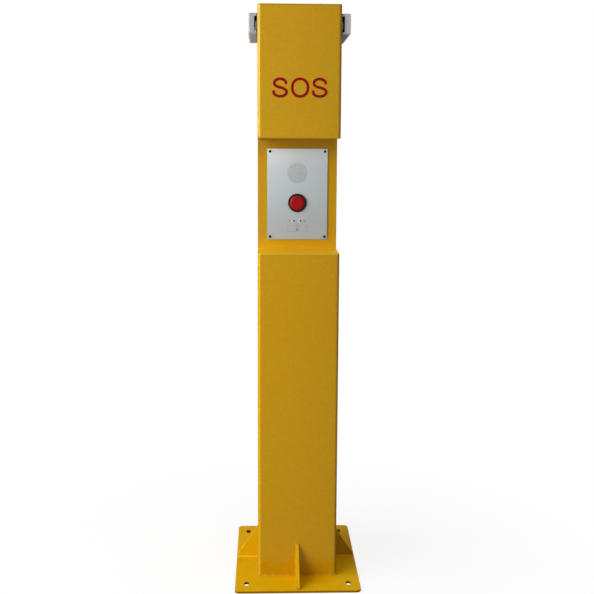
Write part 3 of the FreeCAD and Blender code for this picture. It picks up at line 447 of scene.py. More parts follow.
def yellow_paint():
    """Powder coat: thin bright paint with painted highlight on edges, painted sheen on the head, painted
    light and shade on the front bends and to the right, dusty spots low down and dirt in the lid's seam.
    """
    look, tree, shader, body = painted(
        "yellow_paint", 0.26, 0.5, dull=srgb(196, 145, 14), bright=srgb(200, 151, 18))
    shader.inputs["Specular Tint"].default_value = (0.95, 0.95, 0.30, 1.0)
    up = along(tree, "Z")
    across = along(tree, "X")

    # Painted sheen: the head keeps a paler, bluer tone, and the coat turns warmer below it
    warm_below = ramp(tree, up, LEDGE_Z - 0.208, HEAD_LOW_Z - 0.008, 0.8, 0.0)
    body = mix(tree, warm_below, body, srgb(200, 147, 0))
    # Painted shade: darker towards the column's right side
    painted_shade_right = ramp(tree, across, -0.02, COLUMN_HALF_W, 0.0, 0.22)
    body = mix(tree, painted_shade_right, body, srgb(168, 122, 12))
    # Lighter edges: thin paint, and a painted highlight where light catches them
    body = mix(tree, edge_mask(tree, 0.0012, 0.3), body, srgb(222, 176, 44))

    lower = ramp(tree, up, LEDGE_Z - 0.028, LEDGE_Z - 0.008, 1.0, 0.0)
    left_bend = multiply(tree, front_bend(tree, -1, 0.0095, 0.0045), lower)
    left_rim = multiply(tree, front_bend(tree, -1, 0.0030, 0.0005), lower)
    right_bend = front_bend(tree, 1, 0.0075, 0.0015)
    # Painted highlight on the lower left bend, painted shade on that bend's outer edge and on the right bend
    body = mix(tree, multiply(tree, left_bend, 0.5), body, srgb(238, 186, 0))
    body = mix(tree, multiply(tree, left_rim, 0.9), body, srgb(160, 116, 0))
    body = mix(tree, multiply(tree, right_bend, 0.8), body, srgb(110, 66, 6))

    near_ground = ramp(tree, up, 0.0, 0.16, 1.0, 0.0)
    dust_spots = ramp(tree, pattern(tree, 38.0, 6.0), 0.5, 0.75, 0.0, 0.22)
    body = mix(tree, multiply(tree, near_ground, dust_spots), body, srgb(168, 118, 24))

    seam_from_below = ramp(tree, up, SEAM_Z - 0.0016, SEAM_Z - 0.0002)
    seam_from_above = ramp(tree, up, SEAM_Z + 0.0002, SEAM_Z + 0.0010, 1.0, 0.0)
    seam = multiply(tree, seam_from_below, seam_from_above)
    body = mix(tree, multiply(tree, seam, 0.7), body, srgb(110, 70, 10))

    gloss = spread(tree, pattern(tree, 60.0, 4.0), 0.23, 0.30)
    dull_bends = calculate(tree, "ADD", multiply(tree, left_bend, 0.6), multiply(tree, right_bend, 0.6))
    surface(tree, shader, body, calculate(tree, "ADD", gloss, dull_bends))
    orange_peel = pattern(tree, 420.0, 2.0)
    relief(tree, shader, orange_peel, strength=0.012, depth=0.0004, rounding=0.0008)
    return look


def recess_paint():
    """The same coat inside the recess: less glossy, with painted shade under the head and painted light near
    the ledge and on its left.
    """
    look, tree, shader, body = painted(
        "recess_paint", 0.5, 0.10, dull=srgb(200, 150, 16), bright=srgb(204, 156, 20))
    up = along(tree, "Z")
    stains = ramp(tree, pattern(tree, 24.0, 5.0), 0.5, 0.75, 0.0, 0.12)
    body = mix(tree, stains, body, srgb(186, 138, 22))
    # Painted light: brighter near the ledge, as if lit by light off it
    painted_light_near_ledge = ramp(tree, up, LEDGE_Z + 0.002, LEDGE_Z + 0.047, 0.8, 0.0)
    body = mix(tree, painted_light_near_ledge, body, srgb(226, 172, 8))
    # Painted shade under the head's overhang
    painted_shade_under_head = ramp(tree, up, HEAD_LOW_Z - 0.074, HEAD_LOW_Z - 0.028, 0.0, 0.3)
    body = mix(tree, painted_shade_under_head, body, srgb(150, 98, 28))
    # Painted light on the ledge, stronger towards its left
    on_ledge = ramp(tree, up, LEDGE_Z - 0.002, LEDGE_Z + 0.002, 1.0, 0.0)
    painted_light_to_left = ramp(tree, along(tree, "X"), -0.11, -0.01, 0.6, 0.0)
    body = mix(tree, multiply(tree, on_ledge, painted_light_to_left), body, srgb(240, 190, 8))
    surface(tree, shader, body, spread(tree, pattern(tree, 60.0, 4.0), 0.45, 0.55))
    orange_peel = pattern(tree, 420.0, 2.0)
    relief(tree, shader, orange_peel, strength=0.03, depth=0.0002)
    return look


def scuffed_paint():
    """The same coat on the foot, dulled by grit, with painted highlight on edges, painted light on the left
    gusset and painted shade on the right one, and unpainted walls in the anchor slots and the plate's sides
    darkened as painted shade.
    """
    look, tree, shader, body = painted(
        "scuffed_paint", 0.65, 0.02, dull=srgb(210, 161, 3), bright=srgb(214, 166, 5))
    up = along(tree, "Z")
    across = along(tree, "X")
    scuffs = ramp(tree, pattern(tree, 26.0, 7.0), 0.52, 0.72, 0.0, 0.18)
    body = mix(tree, scuffs, body, srgb(172, 120, 10))
    grit = ramp(tree, pattern(tree, 260.0, 6.0), 0.6, 0.75, 0.0, 0.2)
    body = mix(tree, grit, body, srgb(120, 78, 14))
    # Lighter edges: thin paint, and a painted highlight where light catches them
    body = mix(tree, edge_mask(tree, 0.0010, 0.2), body, srgb(226, 184, 60))

    # Painted light on the left gusset and painted shade on the right one
    above_plate = ramp(tree, up, PLATE_TOP_Z, PLATE_TOP_Z + 0.004)
    for side, amount, colour in ((-1, 0.5, srgb(236, 184, 4)), (1, 0.45, srgb(142, 96, 8))):
        beside = ramp(tree, across, side * COLUMN_HALF_W, side * (COLUMN_HALF_W + 0.004))
        gusset = multiply(tree, above_plate, beside)
        body = mix(tree, multiply(tree, gusset, amount), body, colour)

    # Unpainted slot walls, darkened further as painted shade
    body = mix(tree, slot_walls(tree), body, srgb(130, 88, 18))
    # Painted shade: the plate's sides darker below its top edge
    painted_shade_low_sides = ramp(tree, up, PLATE_TOP_Z - 0.0026, PLATE_TOP_Z - 0.0012, 0.75, 0.0)
    body = mix(tree, painted_shade_low_sides, body, srgb(112, 72, 14))
    surface(tree, shader, body, spread(tree, pattern(tree, 60.0, 4.0), 0.5, 0.7))
    orange_peel = pattern(tree, 420.0, 3.0)
    relief(tree, shader, orange_peel, strength=0.14, depth=0.0004, rounding=0.0008)
    return look


def weld_paint(name, pit_amount, highlight_amount):
    """Painted weld: the same yellow over a rough bead, with rust and grit in its hollows and a painted
    highlight in pale spots over it.
    """
    look, tree, shader, body = painted(
        name, 0.8, 0.0, dull=srgb(188, 136, 8), bright=srgb(196, 144, 10))
    # Painted highlight: pale spots over the bead
    pale_highlights = ramp(tree, pattern(tree, 80.0, 6.0), 0.26, 0.42, 0.0, highlight_amount)
    body = mix(tree, pale_highlights, body, srgb(246, 200, 78))
    pits = ramp(tree, pattern(tree, 120.0, 9.0), 0.46, 0.62, 0.0, pit_amount)
    body = mix(tree, pits, body, srgb(126, 82, 20))
    surface(tree, shader, body, spread(tree, pattern(tree, 200.0, 4.0), 0.7, 0.9))
    spatter = pattern(tree, 500.0, 5.0)
    relief(tree, shader, spatter, strength=0.4, depth=0.0006)
    return look


# Metals

def brushed_panel():
    """Brushed sheet with fine streaks across it, a painted highlight at its top and painted shade towards
    its foot and its right.
    """
    bare = srgb(220, 228, 230)
    look, tree, shader = start_look("brushed_panel", bare, 0.50, metallic=0.15, specular=0.2)
    up = along(tree, "Z")
    streaks = pattern(tree, 2600.0, 3.0, GRAIN_ACROSS)
    body = mix(tree, spread(tree, streaks, 0.0, 0.6), bare, srgb(208, 216, 219))
    blotches = spread(tree, pattern(tree, 9.0, 2.0), 0.0, 0.1)
    body = mix(tree, blotches, body, srgb(168, 172, 170))
    # Painted shade: darker towards the panel's foot
    painted_shade_low = ramp(tree, up, PANEL_LOW_Z + 0.046, PANEL_TOP_Z + 0.026, 0.85, 0.0)
    body = mix(tree, painted_shade_low, body, srgb(166, 174, 178))
    # Painted shade: darker towards the panel's right side
    painted_shade_right = ramp(tree, along(tree, "X"), -PANEL_HALF_W, PANEL_HALF_W, 0.0, 0.3)
    body = mix(tree, painted_shade_right, body, srgb(152, 158, 160))
    # Painted highlight along the panel's top
    painted_highlight_top = ramp(tree, up, PANEL_TOP_Z - 0.060, PANEL_TOP_Z - 0.012, 0.0, 0.5)
    body = mix(tree, painted_highlight_top, body, srgb(232, 238, 237))
    surface(tree, shader, body, spread(tree, streaks, 0.47, 0.54))
    relief(tree, shader, streaks, strength=0.05, depth=0.0001, rounding=0.0004)
    return look


def metal_surface(tree, shader, body, roughness):
    """Uneven gloss and fine grain of drawn, cast or plated metal."""
    gloss = spread(tree, pattern(tree, 300.0, 3.0), roughness - 0.06, roughness + 0.08)
    surface(tree, shader, body, gloss)
    grain = pattern(tree, 1500.0, 2.0)
    relief(tree, shader, grain, strength=0.08, depth=0.0001, rounding=0.0004)


def satin_metal(name, colour, roughness, metallic=1.0, specular=0.5):
    """Drawn, cast or plated metal with faint blotches."""
    look, tree, shader = start_look(name, colour, roughness, metallic, specular)
    blotches = spread(tree, pattern(tree, 70.0, 4.0), 0.0, 1.0)
    body = mix(tree, blotches, colour, darker(colour, 0.82))
    metal_surface(tree, shader, body, roughness)
    return look


def lamp_metal(name, left_colour, right_colour, roughness, metallic, specular):
    """Anodised bar or cap, lighter on one side of the column than the other as painted light and shade, with
    painted shade next to the column, and darker along its top edge.
    """
    look, tree, shader = start_look(name, left_colour, roughness, metallic, specular)
    across = along(tree, "X")
    # Painted light and shade: one colour left of the column's middle, another right of it
    body = mix(tree, ramp(tree, across, -0.01, 0.01), left_colour, right_colour)
    blotches = spread(tree, pattern(tree, 70.0, 4.0), 0.0, 0.12)
    body = mix(tree, blotches, body, srgb(60, 62, 66))
    from_middle = calculate(tree, "ABSOLUTE", across)
    # Painted shade where the bar meets the column
    painted_shade_at_column = ramp(tree, from_middle, COLUMN_HALF_W + 0.0025, COLUMN_HALF_W + 0.0035, 0.8, 0.0)
    body = mix(tree, painted_shade_at_column, body, srgb(62, 66, 80))
    top_edge = ramp(tree, along(tree, "Z"), LAMP_HIGH_Z - 0.0030, LAMP_HIGH_Z - 0.0015, 0.0, 0.7)
    body = mix(tree, top_edge, body, srgb(70, 70, 76))
    metal_surface(tree, shader, body, roughness)
    return look


# Plastics and films

def moulded(name, colour, roughness, grain=0.05, specular=0.5):
    """Moulded plastic or rubber with a fine spark-eroded grain."""
    look, tree, shader = start_look(name, colour, roughness, specular=specular)
    tone = spread(tree, pattern(tree, 45.0, 3.0), 0.0, 1.0)
    gloss = spread(tree, pattern(tree, 500.0, 2.0), roughness - 0.04, roughness + 0.06)
    surface(tree, shader, mix(tree, tone, colour, darker(colour, 0.88)), gloss)
    spark_grain = pattern(tree, 1300.0, 2.0)
    relief(tree, shader, spark_grain, strength=grain, depth=0.0002, rounding=0.0004)
    return look


def red_button():
    """Red cap: dull flat middle with a moulded grain, glossier and purer red on its slope."""
    look, tree, shader = start_look("red_plastic", srgb(184, 16, 16), 0.4, specular=0.10)
    offset = calculate_vector(tree, "SUBTRACT", part_place(tree), (0.0, 0.0, BUTTON_Z))
    flat = calculate_vector(tree, "MULTIPLY", offset, (1.0, 0.0, 1.0))
    reach = calculate_vector(tree, "LENGTH", flat)
    middle = ramp(tree, reach, BUTTON_FLAT_R - 0.0007, BUTTON_FLAT_R + 0.0007, 1.0, 0.0)
    body = mix(tree, middle, srgb(162, 6, 6), srgb(158, 14, 17))
    mottle = spread(tree, pattern(tree, 220.0, 3.0), 0.0, 0.12)
    body = mix(tree, mottle, body, srgb(120, 10, 14))
    surface(tree, shader, body, ramp(tree, middle, 0.0, 1.0, 0.48, 0.55))
    grain = pattern(tree, 1500.0, 2.0)
    relief(tree, shader, grain, strength=0.06, depth=0.0002, rounding=0.0006)
    return look


def milky_cover():
    """Opal diffuser: light bounces inside it, with a smooth skin."""
    look, tree, shader = start_look("lamp_diffuser", srgb(204, 204, 209), 0.4, specular=0.15)
    shader.inputs["Subsurface Weight"].default_value = 0.25
    shader.inputs["Subsurface Radius"].default_value = (0.004, 0.004, 0.004)
    shader.inputs["Subsurface Scale"].default_value = 1.0
    tone = spread(tree, pattern(tree, 25.0, 3.0), 0.0, 1.0)
    surface(tree, shader, mix(tree, tone, srgb(200, 200, 206), srgb(208, 208, 212)))
    ripple = pattern(tree, 600.0, 2.0)
    relief(tree, shader, ripple, strength=0.04, depth=0.0001, rounding=0.0006)
    return look


def tinted_lens(name, colour):
    """Indicator lens, nearly black while its lamp is off."""
    look, tree, shader = start_look(name, colour, 0.18, specular=0.05)
    shader.inputs["Coat Weight"].default_value = 0.03
    tone = spread(tree, pattern(tree, 400.0, 2.0), 0.0, 1.0)
    surface(tree, shader, mix(tree, tone, colour, darker(colour, 0.6)))
    ripple = pattern(tree, 900.0, 1.0)
    relief(tree, shader, ripple, strength=0.05, depth=0.0001)
    return look


def vinyl(name, colour):
    """Cut or printed film with a faint mottle and a slight sheen."""
    look, tree, shader = start_look(name, colour, 0.42, specular=0.06)
    tone = spread(tree, pattern(tree, 220.0, 5.0), 0.0, 1.0)
    surface(tree, shader, mix(tree, tone, colour, darker(colour, 0.8)))
    ripple = pattern(tree, 900.0, 2.0)
    relief(tree, shader, ripple, strength=0.05, depth=0.0001)
    return look


def make_looks():
    """Every look of the part, by its material slot or its own name."""
    looks = (
        yellow_paint(),
        recess_paint(),
        scuffed_paint(),
        weld_paint("weld_paint", pit_amount=0.32, highlight_amount=0.10),
        weld_paint("highlight_weld_paint", pit_amount=0.15, highlight_amount=0.55),
        brushed_panel(),
        # Lamp bars and caps: their left and right colours differ as painted light and shade
        lamp_metal("lamp_aluminium", srgb(170, 181, 212), srgb(112, 126, 148), 0.6, 0.1, 0.05),
        lamp_metal("lamp_caps", srgb(168, 171, 170), srgb(194, 197, 194), 0.42, 0.15, 0.2),
        milky_cover(),
        satin_metal("black_screw", srgb(9, 9, 9), 0.5, metallic=0.0, specular=0.06),
        satin_metal("zinc_steel", srgb(186, 188, 190), 0.38),
        satin_metal("magnet_steel", srgb(70, 70, 74), 0.6, metallic=0.6),
        satin_metal("polished_bezel", srgb(208, 212, 212), 0.4, metallic=0.3),
        satin_metal("capsule_aluminium", srgb(190, 190, 190), 0.4),
        satin_metal("brass", srgb(196, 160, 84), 0.35),
        moulded("black_rubber", srgb(28, 28, 28), 0.75, grain=0.2, specular=0.2),
        moulded("black_plastic", srgb(12, 16, 17), 0.38, specular=0.15),
        moulded("grey_plastic", srgb(128, 130, 132), 0.6, grain=0.15),
        moulded("board_green", srgb(20, 92, 52), 0.4, grain=0.02),
        moulded("black_component", srgb(30, 30, 32), 0.5),
        moulded("terminal_green", srgb(40, 132, 70), 0.5),
        red_button(),
        tinted_lens("red_lens", srgb(26, 6, 12)),
        tinted_lens("green_lens", srgb(10, 22, 20)),
        vinyl("letter_red", srgb(150, 0, 22)),
        vinyl("print_grey", srgb(118, 124, 126)),
    )
    return {look.name.removeprefix("look_"): look for look in looks}


def dress_nodes(nodes, looks, record):
    """Gives every frame node the look of its material slot, or its own."""
    slot_of = {part["node"]: part["material_slot"] for part in record["subparts"]}
    for name, node in nodes.items():
        node.data.materials.clear()
        node.data.materials.append(looks[OWN_LOOKS.get(name, slot_of[name])])


# Geometry building blocks

def mesh_piece(name, mesh, look, body):
    piece = bpy.data.objects.new(name, mesh)
    bpy.context.scene.collection.objects.link(piece)
    piece.data.materials.append(look)
    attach(piece, body)
    return piece


def built_mesh(name, build, sharp_deg):
    """Mesh that a build function fills, smooth but for edges above an angle."""
    shape = bmesh.new()
    build(shape)
    bmesh.ops.recalc_face_normals(shape, faces=shape.faces)
    mesh = bpy.data.meshes.new(name)
    shape.to_mesh(mesh)
    shape.free()
    mesh.shade_smooth()
    mesh.set_sharp_from_angle(angle=math.radians(sharp_deg))
    return mesh


def skin(shape, rings, closed=False):
    """Faces from ring to ring, and back to the first one or with an end face at both ends."""
    pairs = list(zip(rings, rings[1:]))
    if closed:
        pairs.append((rings[-1], rings[0]))
    for near, far in pairs:
        for index in range(len(near)):
            other = (index + 1) % len(near)
            shape.faces.new((near[index], near[other], far[other], far[index]))
    if not closed:
        shape.faces.new(rings[0])
        shape.faces.new(rings[-1])


def arc(x, z, radius_x, radius_z, first_deg, sweep_deg, count):
    """Points of an arc as (x, z), in so many steps."""
    points = []
    for step in range(count + 1):
        turn = math.radians(first_deg + sweep_deg * step / count)
        points.append((x + radius_x * math.cos(turn), z + radius_z * math.sin(turn)))
    return points


def ring(x, z, radius, count=RING_STEPS):
    return arc(x, z, radius, radius, 0, 360, count)[:-1]


def rounded_box(x0, x1, z0, z1, corner):
    """Outline of a box with quarter circles for corners."""
    points = []
    for x, z, first_deg in (
        (x1 - corner, z1 - corner, 0),
        (x0 + corner, z1 - corner, 90),
        (x0 + corner, z0 + corner, 180),
        (x1 - corner, z0 + corner, 270),
    ):
        points += arc(x, z, corner, corner, first_deg, 90, CORNER_STEPS)
    return points


# Welds

def bead_ring(shape, point, leg_a, leg_b, width):
    """One section of a fillet weld, in the corner between the surfaces that its legs lie on."""
    section = [shape.verts.new(point - (leg_a + leg_b) * BEAD_SINK)]
    for turn_deg, reach in BEAD_SECTION:
        turn = math.radians(turn_deg)
        spot = leg_a * math.cos(turn) + leg_b * math.sin(turn)
        section.append(shape.verts.new(point + spot * width * reach))
    return section


def bead_jitter():
    return BEAD_JITTER * (random.random() - 0.5)


def gusset_bead(shape, start, end, leg_a, leg_b):
    """Straight fillet weld that swells and ripples as it goes, and tapers at both ends."""
    run = end - start
    count = max(3, int(run.length / BEAD_STEP))
    phase = random.random()
    drift = random.random() * 10
    rings = []
    for step in range(count + 1):
        part = step / count
        distance = part * run.length
        ripple = GUSSET_RIPPLE_SHARE * (1 - (distance / BEAD_RIPPLE + phase) % 1.0)
        wave = GUSSET_BEAD_WAVE * math.sin(drift + distance * GUSSET_WAVE_RATE)
        width = GUSSET_BEAD_LEG * (GUSSET_BEAD_MEAN + wave + bead_jitter() + ripple)
        width *= min(1.0, BEAD_END_SHARE + min(part, 1 - part) * run.length / GUSSET_BEAD_LEG)
        rings.append(bead_ring(shape, start + run * part, leg_a, leg_b, width))
    skin(shape, rings)


def foot_outline():
    """Points and outward directions round the column's foot, bend by bend."""
    corners = (
        (shell_high.x, shell_low.y, -90),
        (shell_high.x, shell_high.y, 0),
        (shell_low.x, shell_high.y, 90),
        (shell_low.x, shell_low.y, 180),
    )
    outline = []
    for x, y, first_deg in corners:
        centre_x = x - math.copysign(COLUMN_BEND_R, x)
        centre_y = y - math.copysign(COLUMN_BEND_R, y)
        centre = Vector((centre_x, centre_y, shell_low.z))
        for step in range(BEND_STEPS + 1):
            turn = math.radians(first_deg + 90 * step / BEND_STEPS)
            out = Vector((math.cos(turn), math.sin(turn), 0))
            outline.append((centre + out * COLUMN_BEND_R, out))
    return outline


def foot_stations():
    """The foot's outline again, in steps as short as a bead's."""
    outline = foot_outline()
    stations = []
    for (start, start_out), (end, end_out) in zip(outline, outline[1:] + outline[:1]):
        run = end - start
        count = max(1, int(run.length / BEAD_STEP))
        for step in range(count):
            part = step / count
            out = (start_out * (1 - part) + end_out * part).normalized()
            stations.append((start + run * part, out))
    return stations


def weld_foot(shape):
    """One uneven bead all round the column's foot."""
    up = Vector((0, 0, 1))
    rings = []
    distance = 0.0
    before = None
    for point, out in foot_stations():
        if before is not None:
            distance += (point - before).length
        before = point
        wave = sum(share * math.sin(distance * rate) for share, rate in FOOT_BEAD_WAVES)
        lump = FOOT_LUMP_SHARE * math.prod(math.sin(distance * rate) for rate in FOOT_LUMP_RATES)
        ripple = FOOT_RIPPLE_SHARE * (1 - (distance / BEAD_RIPPLE) % 1.0)
        width = BEAD_LEG * (FOOT_BEAD_MEAN + wave + lump + bead_jitter() + ripple)
        rings.append(bead_ring(shape, point, out, up, width))
    skin(shape, rings, closed=True)


def weld_gusset(shape, name, out, on_plate):
    """Beads along both sides of a gusset and over its end, on the plate or up the column."""
    low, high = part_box(name)
    up = Vector((0, 0, 1))
    side = Vector((-out.y, out.x, 0))
    centre = (low + high) / 2
    reach = abs((high - low).dot(out))
    half_side = side * abs((high - low).dot(side)) / 2
    root = Vector((centre.x, centre.y, low.z)) - out * reach / 2
    if on_plate:
        way, rise, length = out, up, reach
    else:
        way, rise, length = up, out, high.z - low.z
    tip = root + way * length
    for sign in (-1, 1):
        edge = half_side * sign
        gusset_bead(shape, root + edge, tip + edge + way * BEAD_RUN_ON, side * sign, rise)
    gusset_bead(shape, tip - half_side, tip + half_side, way, rise)


def weld_beads(looks):
    """All welds, in two pieces: the side gussets' own welds on the plate carry a stronger painted highlight.
    """
    end_gussets = (("gusset_front", Vector((0, -1, 0))), ("gusset_rear", Vector((0, 1, 0))))
    side_gussets = (("gusset_left", Vector((-1, 0, 0))), ("gusset_right", Vector((1, 0, 0))))

    def build_most(shape):
        weld_foot(shape)
        for name, out in end_gussets + side_gussets:
            weld_gusset(shape, name, out, on_plate=False)
        for name, out in end_gussets:
            weld_gusset(shape, name, out, on_plate=True)

    def build_side_feet(shape):
        for name, out in side_gussets:
            weld_gusset(shape, name, out, on_plate=True)

    mesh = built_mesh("weld_beads", build_most, WELD_SHARP_DEG)
    mesh_piece("weld_beads", mesh, looks["weld_paint"], "column")
    mesh = built_mesh("side_gusset_beads", build_side_feet, WELD_SHARP_DEG)
    mesh_piece("side_gusset_beads", mesh, looks["highlight_weld_paint"], "column")


# Letters and printed marks

def round_cap(before, tip, half):
    """Points round the end of a stroke, from its left side to its right."""
    forward_deg = math.degrees(math.atan2(tip[1] - before[1], tip[0] - before[0]))
    return arc(tip[0], tip[1], half, half, forward_deg + 90, -180, CAP_STEPS)[1:-1]


def add_slab(shape, outline, front_y, back_y):
    front = [shape.verts.new((x, front_y, z)) for x, z in outline]
    back = [shape.verts.new((x, back_y, z)) for x, z in outline]
    shape.faces.new(front)
    shape.faces.new(back[::-1])
    for index in range(len(outline)):
        other = (index + 1) % len(outline)
        shape.faces.new((front[index], back[index], back[other], front[other]))


def add_band(shape, outer, inner, front_y, back_y):
    rings = []
    for outline, y in ((outer, front_y), (inner, front_y), (inner, back_y), (outer, back_y)):
        rings.append([shape.verts.new((x, y, z)) for x, z in outline])
    skin(shape, rings, closed=True)


def add_stroke(shape, points, half, closed, front_y, back_y):
    """A flat band of width 2 * half along points given as (x, z), as a thin solid facing -Y."""
    count = len(points)
    left = []
    right = []
    for index, (x, z) in enumerate(points):
        if closed:
            before = points[index - 1]
            after = points[(index + 1) % count]
        else:
            before = points[max(index - 1, 0)]
            after = points[min(index + 1, count - 1)]
        length = math.hypot(after[0] - before[0], after[1] - before[1])
        normal_x = -(after[1] - before[1]) / length
        normal_z = (after[0] - before[0]) / length
        left.append((x + normal_x * half, z + normal_z * half))
        right.append((x - normal_x * half, z - normal_z * half))
    if closed:
        add_band(shape, left, right, front_y, back_y)
        return
    outline = left + round_cap(points[-2], points[-1], half) + right[::-1]
    outline += round_cap(points[1], points[0], half)
    add_slab(shape, outline, front_y, back_y)


def film_piece(name, strokes, back_y, film, look):
    """Thin film of strokes on a surface that faces -Y. A stroke is points, half width and closed."""
    def build(shape):
        for points, half, closed in strokes:
            add_stroke(shape, points, half, closed, back_y - film, back_y)
    mesh_piece(name, built_mesh(name, build, FILM_SHARP_DEG), look, "column")


def letter_s(x, z):
    """Centre line of a plain S: two bowls joined by a slanting middle."""
    half_w = (S_WIDTH - LETTER_STROKE) / 2
    half_h = (LETTER_H - LETTER_STROKE) / 2
    upper_w = S_UPPER_W_SHARE * half_w
    upper_h = S_UPPER_H_SHARE * half_h
    lower_h = S_LOWER_H_SHARE * half_h
    upper_z = z + half_h - upper_h
    lower_z = z - half_h + lower_h
    upper = arc(x, upper_z, upper_w, upper_h, 0, S_UPPER_SWEEP_DEG, S_ARC_STEPS)
    lower = arc(x, lower_z, half_w, lower_h, S_LOWER_START_DEG, S_LOWER_SWEEP_DEG, S_ARC_STEPS)
    return upper + lower


def letter_o(x, z):
    """Centre line of a plain O, a little fuller than an ellipse."""
    half_w = (O_WIDTH - LETTER_STROKE) / 2
    half_h = (LETTER_H - LETTER_STROKE) / 2
    points = []
    for across, rise in arc(0, 0, 1, 1, 0, 360, O_STEPS)[:-1]:
        full_across = math.copysign(abs(across) ** O_SQUARENESS, across)
        full_rise = math.copysign(abs(rise) ** O_SQUARENESS, rise)
        points.append((x + half_w * full_across, z + half_h * full_rise))
    return points


def head_letters(looks):
    """The letters SOS, as cut film on the front of the head."""
    letters = (
        ("letter_s_first", letter_s, False),
        ("letter_o", letter_o, True),
        ("letter_s_last", letter_s, False),
    )
    for (name, draw, closed), x in zip(letters, LETTER_X):
        stroke = (draw(x, LETTER_Z), LETTER_STROKE / 2, closed)
        film_piece(name, [stroke], COLUMN_FRONT_Y, LETTER_FILM, looks["letter_red"])


def panel_marks(looks):
    """Thin printed guides: a frame round the microphone, its sign, and signs beside the indicators."""
    mic_low, mic_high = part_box("microphone")
    mic_z = (mic_low.z + mic_high.z) / 2
    lens_low, lens_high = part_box("indicator_lens_green")
    lens_x = (lens_low.x + lens_high.x) / 2
    lens_z = (lens_low.z + lens_high.z) / 2
    mic_frame = rounded_box(
        -MIC_FRAME_HALF_W, MIC_FRAME_HALF_W, mic_z - MIC_FRAME_DOWN, mic_z + MIC_FRAME_UP, MIC_FRAME_CORNER)
    strokes = [
        (mic_frame, MIC_FRAME_LINE, True),
        (ring(0.0, mic_z + MIC_SIGN_UP, MIC_SIGN_R), SIGN_LINE, True),
        ([(0.0, mic_z + up) for up in MIC_STEM_UP], SIGN_LINE, False),
        (ring(0.0, mic_z, MIC_RING_R), MIC_RING_LINE, True),
    ]
    for side in (-1, 1):
        x = side * (lens_x + RAY_OUT)
        ray = arc(x, lens_z, side * RAY_R[0], RAY_R[1], -RAY_HALF_DEG, 2 * RAY_HALF_DEG, RAY_STEPS)
        strokes.append((ray, RAY_LINE, False))
        strokes.append((ring(x - side * DOT_IN, lens_z, DOT_R, DOT_STEPS), DOT_LINE, True))
    film_piece("panel_marks", strokes, PANEL_FRONT_Y, PRINT_FILM, looks["print_grey"])


# Spring

def spring_coil(looks):
    """The cap's spring, wound as a piece of its own."""
    low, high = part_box("button_spring")
    centre = (low + high) / 2
    length = high.y - low.y
    radius = (high.x - low.x) / 2 - SPRING_WIRE_R
    rise = length - 2 * SPRING_WIRE_R
    count = SPRING_TURN_STEPS * SPRING_TURNS

    def build(shape):
        rings = []
        for step in range(count + 1):
            turn = 2 * math.pi * SPRING_TURNS * step / count
            out = Vector((math.cos(turn), 0, math.sin(turn)))
            y = low.y + SPRING_WIRE_R + rise * step / count
            middle = Vector((centre.x, y, centre.z)) + out * radius
            section = []
            for across, depth in arc(0, 0, SPRING_WIRE_R, SPRING_WIRE_R, 0, 360, SPRING_SIDES)[:-1]:
                section.append(shape.verts.new(middle + out * across + Vector((0, depth, 0))))
            rings.append(section)
        skin(shape, rings)

    mesh = built_mesh("spring_coil", build, SPRING_SHARP_DEG)
    coil = mesh_piece("spring_coil", mesh, looks["zinc_steel"], "column")
    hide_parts("button_spring")
    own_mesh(coil)


# Setting

def floor_look():
    """White ground that keeps the object's shadow and fades to plain white away from it.

    Under the rear half of the plate it is brown, a painted shadow that shows through the rear anchor slots."""
    white = srgb(245, 245, 245)
    look, tree, shader = start_look("floor", white, 0.9, specular=0.05)
    plate_edge = (PLATE_HALF[0] - UNDER_PLATE_INSET, PLATE_HALF[1] - UNDER_PLATE_INSET, 0.0)
    folded = calculate_vector(tree, "ABSOLUTE", part_place(tree))
    past = calculate_vector(tree, "SUBTRACT", folded, plate_edge)
    outside = calculate(tree, "MAXIMUM", along(tree, "X", past), along(tree, "Y", past))
    beside = ramp(tree, outside, 0.0, UNDER_PLATE_EDGE)
    front_half = ramp(tree, along(tree, "Y"), -UNDER_PLATE_BLUR, UNDER_PLATE_BLUR, 1.0, 0.0)
    open_ground = calculate(tree, "MAXIMUM", beside, front_half)
    seen = seen_directly(tree)
    tone = mix(tree, seen, darker(WHITE, FLOOR_BOUNCE), white)
    # Painted shadow: brown floor under the rear half of the plate
    tone = mix(tree, open_ground, srgb(84, 64, 40), tone)
    surface(tree, shader, tone)
    reach = calculate_vector(tree, "LENGTH", part_place(tree))
    far = ramp(tree, reach, FLOOR_NEAR, FLOOR_FAR, FLOOR_NEAR_SHARE, 1.0)
    own_white = multiply(tree, seen, multiply(tree, far, open_ground))
    glow = tree.nodes.new("ShaderNodeEmission")
    blend_shaders(tree, own_white, shader.outputs["BSDF"], glow.outputs["Emission"], "Material Output")
    return look


def make_floor():
    mesh = bpy.data.meshes.new("floor")
    corners = [(-1, -1), (1, -1), (1, 1), (-1, 1)]
    mesh.from_pydata([(x * FLOOR_HALF, y * FLOOR_HALF, 0.0) for x, y in corners], [], [(0, 1, 2, 3)])
    floor = bpy.data.objects.new("floor", mesh)
    floor.location.z = -FLOOR_DROP
    floor.data.materials.append(floor_look())
    bpy.context.scene.collection.objects.link(floor)


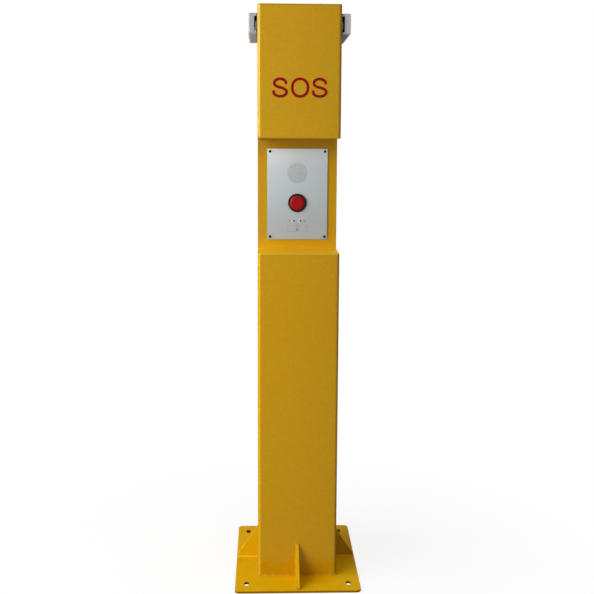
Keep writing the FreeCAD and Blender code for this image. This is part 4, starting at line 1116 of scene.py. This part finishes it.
def make_world():
    """White all round for the camera and for reflections, and a soft uneven light on the object."""
    world = bpy.data.worlds.new("studio")
    bpy.context.scene.world = world
    world.use_nodes = True
    tree = world.node_tree
    way = tree.nodes.new("ShaderNodeTexCoord").outputs["Generated"]
    backwards = calculate_vector(tree, "DOT_PRODUCT", way, REAR_GLOW_SIDE)
    behind = ramp(tree, backwards, 0.0, REAR_GLOW_EDGE, 0.0, REAR_GLOW)
    low_down = ramp(tree, along(tree, "Z", way), REAR_GLOW_TOP[0], REAR_GLOW_TOP[1], 1.0, 0.0)
    light = tree.nodes["Background"]
    light.inputs["Color"].default_value = WHITE
    strength = calculate(tree, "ADD", multiply(tree, behind, low_down), WORLD_FILL)
    tree.links.new(strength, light.inputs["Strength"])
    white = tree.nodes.new("ShaderNodeBackground")
    white.inputs["Color"].default_value = WHITE
    blend_shaders(
        tree, seen_directly(tree), light.outputs["Background"], white.outputs["Background"], "World Output")


def make_lamps():
    """Soft area lamps round the object. The shine card only shows as a highlight."""
    for lamp in LAMPS:
        data = bpy.data.lights.new(lamp.name, "AREA")
        data.shape = "RECTANGLE"
        data.size = lamp.width
        data.size_y = lamp.height
        data.energy = lamp.power
        light = bpy.data.objects.new(lamp.name, data)
        if lamp.name == SHINE_ONLY:
            data.color = SHINE_COLOUR
            light.visible_diffuse = False
        bpy.context.scene.collection.objects.link(light)
        left = math.radians(lamp.left_deg)
        up = math.radians(lamp.up_deg)
        away = Vector((-math.sin(left) * math.cos(up), -math.cos(left) * math.cos(up), math.sin(up)))
        light.location = LAMP_AIM + away * lamp.distance
        light.rotation_mode = "QUATERNION"
        light.rotation_quaternion = (-away).to_track_quat("-Z", "Y")


def make_camera():
    """Camera at the photograph's place, angle and field of view."""
    yaw = math.radians(CAMERA_YAW_DEG)
    pitch = math.radians(CAMERA_PITCH_DEG)
    roll = math.radians(CAMERA_ROLL_DEG)
    forward = Vector((math.sin(yaw) * math.cos(pitch), math.cos(yaw) * math.cos(pitch), -math.sin(pitch)))
    level = Vector((math.cos(yaw), -math.sin(yaw), 0.0))
    down = forward.cross(level)
    right = level * math.cos(roll) + down * math.sin(roll)
    below = down * math.cos(roll) - level * math.sin(roll)
    data = bpy.data.cameras.new("camera")
    data.sensor_width = SENSOR_MM
    data.lens = CAMERA_FOCAL_PX * SENSOR_MM / IMAGE_PX
    data.clip_start, data.clip_end = CAMERA_CLIP
    camera = bpy.data.objects.new("camera", data)
    bpy.context.scene.collection.objects.link(camera)
    turn = Matrix((right, -below, -forward)).transposed().to_4x4()
    camera.matrix_world = Matrix.Translation(CAMERA_POINT) @ turn
    bpy.context.scene.camera = camera


looks = make_looks()
dress_nodes(frame["nodes"], looks, frame["record"])
weld_beads(looks)
head_letters(looks)
panel_marks(looks)
spring_coil(looks)
make_floor()
make_world()
make_lamps()
make_camera()
bpy.context.scene.view_settings.view_transform = "Standard"
